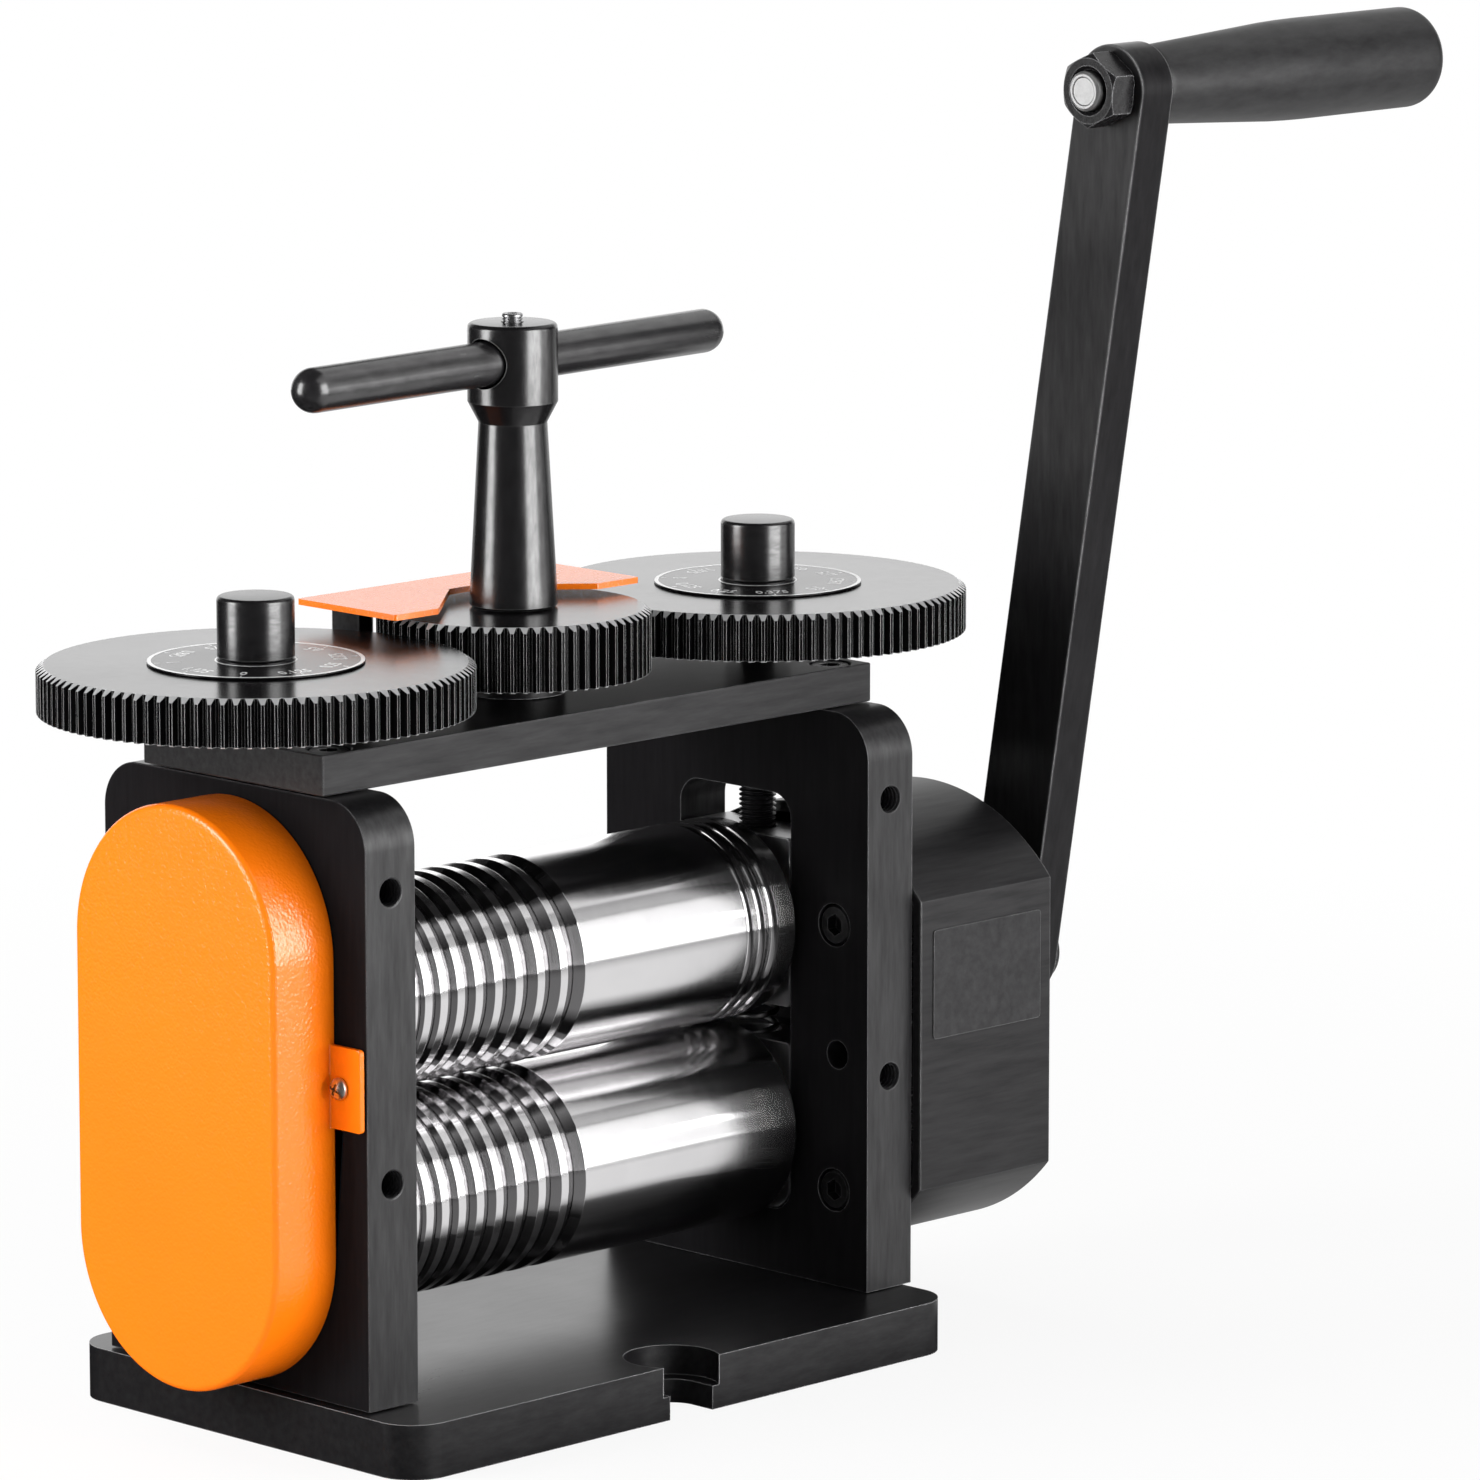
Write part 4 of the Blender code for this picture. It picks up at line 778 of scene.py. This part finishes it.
def cut_gear(ends, teeth, shares, phase, axis, centre, module, bore, chamfer, pressure=math.radians(20),
             crown_height=None):
    """A gear from its tooth numbers, with its turned blank's chamfers and its bore."""
    low, high = ends
    addendum, dedendum, backlash = shares
    outer = teeth * module / 2 + addendum * module
    outline = gear_outline(teeth, module, addendum, dedendum, backlash, phase, centre, pressure)
    top_chamfer = 0.95 * (addendum + dedendum) * module if crown_height else chamfer
    blank = turned([(low, bore), (low, outer - chamfer), (low + chamfer, outer + 0.05 * mm),
                    (high - (crown_height or chamfer), outer + 0.05 * mm), (high, outer - top_chamfer),
                    (high, bore)], centre, axis, 4 * teeth if teeth < 60 else 210, ring=True)
    return carved(prism(outline, low - over, high + over, axis), blank, "INTERSECT")


fine_module = 2 * screw_axis_x / (fine_teeth + centre_teeth)
half_pitch = math.pi / fine_teeth
for node, body, teeth, x, phase, bore in (
        ("centre_gear", "t_handle", centre_teeth, 0, 0, centre_bore),
        ("side_gear_left", "left_screw", fine_teeth, -screw_axis_x, 0, gear_bore),
        ("side_gear_right", "right_screw", fine_teeth, screw_axis_x, math.pi + half_pitch, gear_bore)):
    low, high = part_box(node)
    gear = cut_gear((low.z, high.z), teeth, fine_shares, phase, "Z", (x, 0), fine_module, bore, 0.35 * mm,
                    crown_height=1.3 * mm)
    fitted(node, gear, tooth_black, body)

drive_module = 1.5 * mm
lean = math.radians(32.5)
gear_distance = (reduction_teeth + pinion_teeth) / 2 * drive_module
crank_axis = (-gear_distance * math.sin(lean), lower_height + gear_distance * math.cos(lean))
to_pinion = math.pi / 2 + lean
reduction_low, reduction_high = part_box("reduction_gear")
reduction = cut_gear((reduction_low.x, reduction_high.x), reduction_teeth, drive_shares, to_pinion, "X",
                     (0, lower_height), drive_module, seat_radius, drive_chamfer)
fitted("reduction_gear", reduction, tooth_black, "lower_roll")
long_module = 52.05 * mm / long_teeth
for word, height, phase in (("lower", lower_height, math.pi / 2),
                            ("upper", upper_height, -math.pi / 2 + math.pi / long_teeth)):
    low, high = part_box(word + "_coupling_gear")
    gear = cut_gear((low.x, high.x), long_teeth, long_shares, phase, "X", (0, height), long_module, seat_radius,
                    drive_chamfer, pressure=math.radians(27))
    fitted(word + "_coupling_gear", gear, tooth_black, word + "_roll")
low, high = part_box("reduction_gear_nut")
radius = high.z - lower_height
lock_nut = turned([(low.x, 10.2 * mm), (low.x, radius - 1 * mm), (low.x + 0.6 * mm, radius),
                   (high.x - 0.6 * mm, radius), (high.x, radius - 1 * mm), (high.x, 10.2 * mm)],
                  (0, lower_height), "X", ring=True)
fitted("reduction_gear_nut", lock_nut, milled_steel, "lower_roll")


# Adjusting screws and knobs
# A fine-threaded screw of blackened steel presses on each upper block. Its gear, dial and knob are
# keyed to its upper end, and the screws have 1.25 mm of pitch.
adjusting_pitch = 1.25 * mm
screw_neck = 6 * mm
collar_radius = 8.5 * mm
collar_height = 3 * mm
hub_depth = 10 * mm


def thread_profile(low, high, radius, pitch, depth):
    """The outline of a thread's crests and roots between two heights, from high to low."""
    points = []
    turns = int((high - low) / pitch)
    for turn in range(turns):
        top = high - turn * pitch
        points += [(top, radius), (top - pitch * 0.15, radius), (top - pitch * 0.55, radius - depth),
                   (top - pitch * 0.65, radius - depth)]
    return points + [(high - turns * pitch, radius)]


handle_wear_and_glint = (0.3, 0.3, 0.3)
knob_black = metal_finish("knob_black", (0.005, 0.0048, 0.0052), 0.25, 900, 0.004, (0.3, 0.3, 1), 4,
                          handle_wear_and_glint, specular=1.0, matt_axis="Z", matt_specular=0.45)
for word, side in (("left", -1), ("right", 1)):
    centre = (side * screw_axis_x, 0)
    low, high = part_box("adjusting_screw_" + word)
    collar_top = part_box("side_gear_" + word)[0].z - seat_gap
    collar_low = collar_top - collar_height
    screw = turned([(high.z, 0), (high.z, screw_neck), (collar_top, screw_neck),
                    (collar_top, collar_radius - 0.4 * mm), (collar_top - 0.4 * mm, collar_radius),
                    (collar_low, collar_radius)]
                   + thread_profile(low.z + 1 * mm, collar_low, 4.8 * mm, adjusting_pitch, 0.8 * mm)
                   + [(low.z + 0.5 * mm, 4.4 * mm), (low.z, 4.0 * mm), (low.z, 0)], centre)
    # The screw is drawn darker than its blackened steel, as painted shade in the window.
    fitted("adjusting_screw_" + word, screw, recess_shade_black, word + "_screw")
    low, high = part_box("knob_" + word)
    radius = (high.x - low.x) / 2
    knob = turned([(high.z, 0)] + rounded_end(high.z, radius, 1.0 * mm, 8)
                  + [(low.z + 0.3 * mm, radius), (low.z, radius - 0.3 * mm), (low.z, gear_bore),
                     (low.z + hub_depth, gear_bore), (low.z + hub_depth, 0)], centre, steps=96)
    fitted("knob_" + word, knob, knob_black, word + "_screw")


# Dials
# A thin blackened disc on each side gear, printed in white with a ring, ticks and the height in
# millimetres that the rolls have moved, an eighth of a millimetre a mark.
dial_black = metal_finish("dial_black", (0.007, 0.0066, 0.0073), 0.24, 500, 0.003)
print_white = metal_finish("print_white", (0.90, 0.90, 0.90), 0.22, 900, 0.001, specular=0.9)
print_height = 0.03 * mm
figure_size = 3.9 * mm
figure_stretch = 1.35
figure_radius = 20.4 * mm
tick_half = 0.14 * mm
tick_start, tick_end = 23.6 * mm, 25.0 * mm
dial_marks = 10
dial_skin = 0.35 * mm
dial_steps = 128
mark_value = 0.125


def printed_figure(text, angle, centre, height):
    """A number lying flat on the dial, its foot towards the rim."""
    curve = bpy.data.curves.new("figure", "FONT")
    curve.body = text
    curve.size = figure_size
    curve.align_x = "CENTER"
    curve.align_y = "CENTER"
    curve.extrude = print_height / 2
    curve.resolution_u = 3
    place = (centre[0] + figure_radius * math.cos(angle), centre[1] + figure_radius * math.sin(angle),
             height + print_height / 2)
    return moved(shape_of(curve), Matrix.Translation(place) @ Matrix.Rotation(angle + math.pi / 2, 4, "Z")
                 @ Matrix.Diagonal((1, figure_stretch, 1, 1)))


for word, side, zero in (("left", -1, math.radians(-140.5)), ("right", 1, math.radians(127.3))):
    centre = (side * screw_axis_x, 0)
    low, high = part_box("dial_" + word)
    radius = (high.x - low.x) / 2
    top = low.z + dial_skin
    print_top = top + print_height
    hub = (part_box("knob_" + word)[1].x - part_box("knob_" + word)[0].x) / 2
    disc = turned([(low.z, gear_bore), (low.z, radius), (top - 0.1 * mm, radius), (top, radius - 0.1 * mm),
                   (top, hub), (high.z, hub), (high.z, gear_bore)], centre, steps=dial_steps, ring=True)
    fitted("dial_" + word, disc, dial_black, word + "_screw")
    printing = [sleeve(top, print_top, inner, outer, centre, "Z", dial_steps) for inner, outer in
                ((radius - 1.05 * mm, radius - 0.1 * mm), (hub + 0.2 * mm, hub + 0.6 * mm))]
    for mark in range(dial_marks):
        angle = zero + 2 * math.pi * mark / dial_marks
        tick = prism(rounded_box(tick_start, -tick_half, tick_end, tick_half, 0), top, print_top)
        printing += [moved(tick, Matrix.Translation((*centre, 0)) @ Matrix.Rotation(angle, 4, "Z")),
                     printed_figure("%g" % (mark * mark_value), angle, centre, top)]
    fitted("dial_print_" + word, together(*printing), print_white, word + "_screw", False)


# T-handle
# A tapered stem screwed to the centre gear, with a cross-drilled head. A round bar with domed ends
# slides into the head, and a small screw with a hexagon socket on top locks it.
handle_black = metal_finish("handle_black", (0.005, 0.0048, 0.0052), 0.24, 500, 0.003, (1, 1, 0.3), 4,
                            handle_wear_and_glint, specular=1.0, matt_axis="Z", matt_specular=0.4)
bar_black = metal_finish("bar_black", (0.010, 0.0096, 0.0104), 0.26, 500, 0.003, (0.3, 1, 1), 2, handle_wear_and_glint,
                         specular=1.0)
foot_radius = 11.1 * mm
top_radius = 8.6 * mm
tenon_radius = 6.9 * mm
bar_turn = Matrix.Rotation(math.radians(4.6), 4, "Z")
bar_half = 77.85 * mm
nut_circle = 12 * mm


def hexagon(radius, centre=(0, 0), turn=0.0):
    angles = [turn + math.pi * step / 3 for step in range(6)]
    return [(centre[0] + radius * math.cos(angle), centre[1] + radius * math.sin(angle)) for angle in angles]


low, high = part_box("t_stem")
head_radius = (high.x - low.x) / 2
head_low = high.z - 20 * mm
waist = head_low - 5 * mm
stem_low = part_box("centre_gear")[1].z + seat_gap
stem = turned([(high.z, 0)] + rounded_end(high.z, head_radius, 1.3 * mm, 8)
              + [(head_low + 0.3 * mm, head_radius), (head_low, head_radius - 0.15 * mm),
                 (waist + 0.3 * mm, top_radius + 0.1 * mm), (waist, top_radius),
                 (stem_low + 0.6 * mm, foot_radius), (stem_low, foot_radius - 0.5 * mm),
                 (stem_low, tenon_radius), (low.z, tenon_radius), (low.z, 0)], steps=96)
bar_low, bar_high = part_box("t_bar")
bar_radius = (bar_high.z - bar_low.z) / 2
bar_height = (bar_low.z + bar_high.z) / 2
cross_hole = moved(stepped(-2 * head_radius, (2 * head_radius, bar_radius + 0.7 * mm),
                           across=(0, bar_height), axis="X"), bar_turn)
lock_low, lock_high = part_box("t_set_screw")
lock_radius = (lock_high.x - lock_low.x) / 2
lock_hole = stepped(bar_height, (high.z + over, lock_radius + 0.25 * mm), steps=40)
stem = softened(carved(carved(stem, cross_hole), lock_hole), 0.25 * mm, math.radians(50))
fitted("t_stem", stem, handle_black, "t_handle")
dome = rounded_end(bar_half, bar_radius, bar_radius, 12)
bar = turned(dome + [(-along, radius) for along, radius in reversed(dome)], (0, bar_height), "X")
fitted("t_bar", moved(bar, bar_turn), bar_black, "t_handle")
lock_top = lock_high.z
lock = turned([(lock_top, 0), (lock_top, lock_radius - 0.25 * mm), (lock_top - 0.25 * mm, lock_radius)]
              + thread_profile(lock_low.z + 0.5 * mm, lock_top - 0.6 * mm, lock_radius, 0.7 * mm, 0.3 * mm)
              + [(lock_low.z, lock_radius - 0.4 * mm), (lock_low.z, 0)], steps=40)
key_hole = stepped(lock_top - 1.2 * mm, (lock_top + over, 0.55 * lock_radius), steps=6)
fitted("t_set_screw", carved(lock, key_hole), milled_steel, "t_handle")
low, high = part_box("centre_nut")
nut_blank = turned([(low.z, centre_bore), (low.z, 10.4 * mm), (low.z + 0.8 * mm, nut_circle),
                    (high.z - 0.8 * mm, nut_circle), (high.z, 10.4 * mm), (high.z, centre_bore)], ring=True)
nut = carved(prism(hexagon(nut_circle), low.z - over, high.z + over), nut_blank, "INTERSECT")
fitted("centre_nut", nut, black_oxide, "t_handle")
low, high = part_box("centre_bush")
bridge_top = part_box("bridge_plate")[1].z + seat_gap
centre_bush = turned([(high.z, 7.1 * mm), (high.z, 12.5 * mm), (high.z - 0.5 * mm, 13 * mm),
                      (bridge_top, 13 * mm), (bridge_top, 10 * mm), (low.z, 10 * mm), (low.z, 7.1 * mm)],
                     ring=True)
fitted("centre_bush", centre_bush, black_oxide, "frame")


# Orange sheet metal
# The cover is a pressed steel shell over the coupling gears, the guard a flat plate over the mesh of
# the centre gear. Both are powder coated orange, with a fine leathery texture and a soft gloss.
cover_wall = 1.5 * mm
cover_half = 36.35 * mm
cover_edge = 1.7 * mm
tab_middle = 93.6 * mm
tab_half = 10.3 * mm
tab_hole_y = 39.95 * mm
tab_tip = 1.0 * mm
mouth = 27.5 * mm
notch_half = 4.875 * mm
notch_depth = 21.5 * mm
guard_corner = 0.8 * mm


def powder_coat(name, colour, texture_scale, texture_depth, roughness, specular):
    """Orange powder coat: a fine pebbled skin whose tone is a little uneven."""
    material, tree, shader = new_material(name)
    place = object_place(tree)
    pebbles = new_node(tree, "TexVoronoi", {"Vector": place, "Scale": texture_scale, "Smoothness": 0.6},
                       feature="SMOOTH_F1")
    creases = new_node(tree, "TexNoise", {"Vector": place, "Scale": texture_scale * 0.45, "Detail": 5,
                                          "Distortion": 0.4}).outputs[0]
    height = calc(tree, "ADD", calc(tree, "MULTIPLY", pebbles.outputs["Distance"], 0.8), creases)
    relief = new_node(tree, "Bump", {"Distance": texture_depth, "Height": height})
    tone = mixed(tree, effect(tree, oil_film, Scale=14), shade(colour, 0.93), shade(colour, 1.05))
    feed(shader, {"Base Color": tone, "Specular IOR Level": specular, "Normal": relief.outputs[0],
                  "Roughness": calc(tree, "ADD", calc(tree, "MULTIPLY", creases, 0.12), roughness)})
    return material


def stadium(half_width, bottom, top):
    """A tall outline with half-round ends."""
    return rounded_box(-half_width, bottom, half_width, top, half_width, steps=40)


cover_orange = powder_coat("cover_orange", (0.95, 0.188, 0.003), 1200, 0.08 * mm, 0.13, 0.70)
guard_orange = powder_coat("guard_orange", (0.95, 0.19, 0.003), 1900, 0.004 * mm, 0.20, 0.97)
low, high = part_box("gear_cover")
shell = prism(stadium(cover_half, low.z, high.z), low.x, high.x, "X")
rim = [edge for edge in shell.edges if all(abs(vert.co.x - low.x) < 0.01 * mm for vert in edge.verts)]
bmesh.ops.bevel(shell, geom=rim, offset=cover_edge, offset_type="OFFSET", affect="EDGES", segments=6,
                profile=0.5, material=-1)
hollow = prism(stadium(cover_half - cover_wall, low.z + cover_wall, high.z - cover_wall),
               low.x + cover_wall, high.x + over, "X")
shell = carved(shell, hollow)
for side in (-1, 1):
    near, far = sorted((side * (cover_half - cover_wall / 2), side * high.y))
    near_tip, far_tip = (tab_tip, 0) if side < 0 else (0, tab_tip)
    tab = prism(rounded_box(near, tab_middle - tab_half, far, tab_middle + tab_half, near_tip, far_tip,
                            far_tip, near_tip, steps=6), high.x - cover_wall, high.x, "X")
    shell = carved(shell, tab, "UNION")
holes = [stepped(high.x - 2 * cover_wall, (high.x + over, 1.8 * mm), across=(side * tab_hole_y, tab_middle),
                 axis="X", steps=32) for side in (-1, 1)]
shell = softened(carved(shell, together(*holes)), 0.25 * mm, math.radians(55))
front_face = max((face for face in shell.faces if face.normal.x < -0.99), key=lambda face: face.calc_area())
bmesh.ops.inset_region(shell, faces=[front_face], thickness=0.3 * mm)
fitted("gear_cover", shell, cover_orange, "frame")

low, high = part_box("gear_guard")
notch_y = low.y + notch_depth
notch_side = notch_y - 1.4 * mm
guard = prism(rounded_outline([
    (low.x, low.y, guard_corner), (-mouth, low.y, guard_corner), (-notch_half, notch_side, 5.5 * mm),
    (0, notch_y, 30 * mm), (notch_half, notch_side, 5.5 * mm), (mouth, low.y, guard_corner),
    (high.x, low.y, guard_corner), (high.x, high.y, guard_corner), (low.x, high.y, guard_corner)], 8),
    low.z, high.z)
fitted("gear_guard", softened(guard, 0.25 * mm), guard_orange, "frame")


# Cover screws
# A small plated pan-head screw with a cross recess holds each tab of the cover.
plated_steel = metal_finish("plated_steel", (0.75, 0.72, 0.67), 0.34, 900, 0.004, film=0.1, metallic=1)
pan_height = 2.0 * mm
pan_steps = 10
blade_half = 1.5 * mm
blade_side = 0.32 * mm
for word in ("front", "rear"):
    low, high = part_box("cover_screw_" + word)
    y, z = (low.y + high.y) / 2, (low.z + high.z) / 2
    head_radius = (high.z - low.z) / 2
    pan = [(low.x + pan_height * (1 - math.cos(angle)) * 0.9, head_radius * math.sin(angle))
           for angle in [math.pi / 2 * step / pan_steps for step in range(pan_steps + 1)]]
    screw = turned(pan + [(low.x + pan_height, head_radius), (low.x + pan_height, 1.5 * mm),
                          (high.x, 1.5 * mm), (high.x, 0)], (y, z), "X", 48)
    for turn in (0, math.pi / 2):
        blade = prism(rounded_box(-blade_half, -blade_side, blade_half, blade_side, 0), low.x - over,
                      low.x + 1.3 * mm, "X")
        screw = carved(screw, moved(blade, Matrix.Translation((0, y, z))
                                    @ Matrix.Rotation(turn + math.radians(20), 4, "X")))
    fitted("cover_screw_" + word, screw, plated_steel, "frame")


# Guard posts
# Two short blackened blocks carry the guard. Their inner corners are hollowed to clear the centre gear.
for word in ("left", "right"):
    low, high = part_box("guard_post_" + word)
    post = prism(rounded_box(low.x, high.y - 10 * mm, high.x, high.y, 0), bridge_top, high.z)
    post = softened(carved(post, stepped(bridge_top - over, (high.z + over, 35.4 * mm), steps=160)), 0.3 * mm)
    fitted("guard_post_" + word, post, bridge_finish, "frame")


# Gearbox housing
# A deep steel cup, turned and then milled flat at the front and the back, blackened, with its grain
# running round it. A bare plate sits in the middle of the front flat.
housing_finish = metal_finish("housing_finish", blackened, 0.42, 520, 0.006, (0.10, 1, 1), 6,
                              (0.30, 0.30, 0.305), specular=0.30)
low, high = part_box("gearbox_housing")
housing_y = (low.y + high.y) / 2
housing_z = (low.z + high.z) / 2
housing_radius = (high.z - low.z) / 2
housing_reach = (high.y - low.y) / 2
housing_wall = 3 * mm
boss_bore = 10.7 * mm
boss_radius = 13 * mm
flat_steps = 48


def flatted_circle(radius, reach):
    """A circle with its front and its back cut flat."""
    flat = math.acos(reach / radius)
    angles = [start + (math.pi - 2 * flat) * step / flat_steps
              for start in (flat, math.pi + flat) for step in range(flat_steps + 1)]
    return [(housing_y + radius * math.cos(angle), housing_z + radius * math.sin(angle)) for angle in angles]


cup = prism(flatted_circle(housing_radius, housing_reach), low.x, high.x, "X")
inside = prism(flatted_circle(housing_radius - housing_wall, housing_reach - housing_wall),
               low.x - over, high.x - housing_wall, "X")
bush_hole = stepped(high.x - 2 * housing_wall, (high.x + over, boss_bore), across=crank_axis, axis="X")
cup = softened(carved(carved(cup, inside), bush_hole), 0.5 * mm)
fitted("gearbox_housing", cup, housing_finish, "frame")
boss = sleeve(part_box("crank_bush")[0].x, high.x - housing_wall, boss_bore, boss_radius, crank_axis)
fitted("crank_boss", boss, housing_finish, "frame", False)
for number in (1, 2, 3):
    pillar = sleeve(low.x + seat_gap, high.x - housing_wall, cap_shank_hole, 6.5 * mm,
                    centre_of("gearbox_screw_%d" % number).yz, steps=40)
    fitted("housing_pillar_%d" % number, pillar, housing_finish, "frame", False)

plate_black = metal_finish("plate_black", (0.010, 0.0096, 0.0105), 0.40, 400, 0.001, wear_and_glint=4,
                           worn_and_glint=(0.25, 0.25, 0.25), film=0.03)
low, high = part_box("rating_plate")
plate = prism(rounded_box(low.x, low.z, high.x, high.z, 1.0 * mm, steps=8), high.y - 0.05 * mm,
              high.y + 0.3 * mm, "Y")
fitted("rating_plate", softened(plate, 0.1 * mm), plate_black, "frame")


# Crank
# The crank's shaft carries the pinion inside the housing and runs in a flanged bronze bush. A flat
# steel arm with round ends is clamped to it by a screw, and carries the grip's stud at its top.
low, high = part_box("crank_bush")
flange_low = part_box("gearbox_housing")[1].x + seat_gap
crank_bush = turned([(low.x, 8.2 * mm), (low.x, 10.4 * mm), (flange_low, 10.4 * mm),
                     (flange_low, boss_radius), (high.x - 0.5 * mm, boss_radius), (high.x, 12.5 * mm),
                     (high.x, 8.2 * mm)], crank_axis, "X", ring=True)
fitted("crank_bush", crank_bush, bush_bronze, "frame")
shaft_low, shaft_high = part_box("crank_shaft")
arm_low, arm_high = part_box("crank_arm")
shaft_radius = 8 * mm
shaft_tip = 6.5 * mm
shoulder_radius = 11 * mm
pinion = cut_gear((shaft_low.x, reduction_high.x), pinion_teeth, drive_shares,
                  to_pinion + math.pi + math.pi / pinion_teeth, "X", crank_axis, drive_module,
                  shaft_radius - 0.1 * mm, drive_chamfer)
collar_low = high.x + seat_gap
collar_high = arm_low.x - seat_gap
shaft = turned([(shaft_low.x + seat_gap, 0), (shaft_low.x + seat_gap, shaft_radius),
                (collar_low, shaft_radius), (collar_low, shoulder_radius - 0.4 * mm),
                (collar_low + 0.4 * mm, shoulder_radius), (collar_high - 0.4 * mm, shoulder_radius),
                (collar_high, shoulder_radius - 0.4 * mm), (collar_high, shaft_tip), (shaft_high.x, shaft_tip),
                (shaft_high.x, 0)], crank_axis, "X")
fitted("crank_shaft", carved(shaft, pinion, "UNION"), black_oxide, "crank")

arm_finish = metal_finish("arm_finish", blackened, 0.34, 420, 0.006, (1, 1, 0.15), 7.5, (0.42, 0.42, 0.425),
                          wear_and_glint_width=0.7 * mm, specular=0.385, matt_axis="Y", matt_specular=0.12)
arm_lean = math.radians(9.47)
arm_length = 234 * mm
arm_half = 11.3 * mm
grip_axis = (crank_axis[0] - arm_length * math.sin(arm_lean), crank_axis[1] + arm_length * math.cos(arm_lean))
arm = prism(stadium(arm_half, -arm_half, arm_length + arm_half), arm_low.x, arm_high.x, "X")
holes = [stepped(arm_low.x - over, (arm_high.x + over, radius), across=(0, height), axis="X")
         for radius, height in ((6.7 * mm, 0), (5.4 * mm, arm_length))]
arm = moved(softened(carved(arm, together(*holes)), 0.4 * mm),
            Matrix.Translation((0, *crank_axis)) @ Matrix.Rotation(arm_lean, 4, "X"))
fitted("crank_arm", arm, arm_finish, "crank")
low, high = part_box("crank_screw")
head_low = arm_high.x + seat_gap
screw = turned([(low.x, 0), (low.x, 3 * mm), (head_low, 3 * mm), (head_low, 9 * mm),
                (high.x - 0.8 * mm, 9 * mm), (high.x, 8.2 * mm), (high.x, 0)], crank_axis, "X")
key_hole = stepped(high.x - 2.5 * mm, (high.x + over, 3 * mm), across=crank_axis, axis="X", steps=6)
fitted("crank_screw", carved(screw, key_hole), black_oxide, "crank")


# Grip
# A moulded black grip, narrow at the arm and full at the end, turns freely on a bright steel stud.
# The stud is screwed through the arm and locked by a blackened hexagon nut.
low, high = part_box("stud_nut")
nut_radius = 9.8 * mm
stud_hole = 5.4 * mm
nut_blank = turned([(low.x + 1.1 * mm, stud_hole), (low.x, 6.4 * mm), (low.x, 8.4 * mm),
                    (low.x + 1.0 * mm, nut_radius), (high.x - 0.6 * mm, nut_radius), (high.x, 8.9 * mm),
                    (high.x, stud_hole)], grip_axis, "X", 96, ring=True)
nut = prism(hexagon(nut_radius, grip_axis, math.radians(35)), low.x - over, high.x + over, "X")
fitted("stud_nut", softened(carved(nut, nut_blank, "INTERSECT"), 0.2 * mm), black_oxide, "crank")
stud_low, stud_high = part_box("grip_stud")
stud_radius = 5.1 * mm
stud_head = 8 * mm
head_low = stud_high.x - 6 * mm
end_edge = 0.5 * mm
thread_end = arm_high.x + 1 * mm
stud_thread = thread_profile(0, thread_end - stud_low.x - 1.2 * mm, stud_radius, 1.5 * mm, 0.6 * mm)
stud = turned([(stud_low.x + 0.2 * mm, 0), (stud_low.x + 0.2 * mm, 3.5 * mm), (stud_low.x, 3.8 * mm),
               (stud_low.x, stud_radius - end_edge - 0.2 * mm), (stud_low.x + end_edge, stud_radius)]
              + [(thread_end - along, radius) for along, radius in reversed(stud_thread)]
              + [(thread_end + 0.5 * mm, stud_radius), (head_low, stud_radius), (head_low, stud_head),
                 (stud_high.x - 1 * mm, stud_head), (stud_high.x, stud_head - 1 * mm), (stud_high.x, 0)],
              grip_axis, "X", 48)
stud_steel = metal_finish("stud_steel", (0.48, 0.48, 0.48), 0.46, 600, 0.02, film=0.1, metallic=1)
fitted("grip_stud", stud, stud_steel, "crank")

grip_black = metal_finish("grip_black", (0.0095, 0.0092, 0.0098), 0.44, 300, 0.004, (0.4, 1, 1), film=0.05)
low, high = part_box("crank_grip")
grip_length = high.x - low.x
grip_shares = ((0.00, 0.757), (0.04, 0.778), (0.20, 0.856), (0.38, 0.945), (0.44, 0.975), (0.50, 0.992),
               (0.56, 1.000), (0.75, 1.000), (0.90, 1.000))
full_radius = 13.2 * mm
recess_radius = 8.3 * mm
recess_end = high.x - 8 * mm
waist_line = [(low.x + grip_length * along, full_radius * size) for along, size in grip_shares]
smooth_line = []
for first, second in zip(waist_line, waist_line[1:]):
    smooth_line += [(first[0] + (second[0] - first[0]) * step / 4, first[1] + (second[1] - first[1]) * step / 4)
                    for step in range(4)]
grip = turned([(low.x, stud_hole), (low.x, full_radius * 0.74)] + smooth_line[1:]
              + rounded_end(high.x, full_radius, 5 * mm, 12)[::-1]
              + [(high.x, recess_radius), (recess_end, recess_radius), (recess_end, stud_hole)],
              grip_axis, "X", 96, ring=True)
fitted("crank_grip", grip, grip_black, "grip")
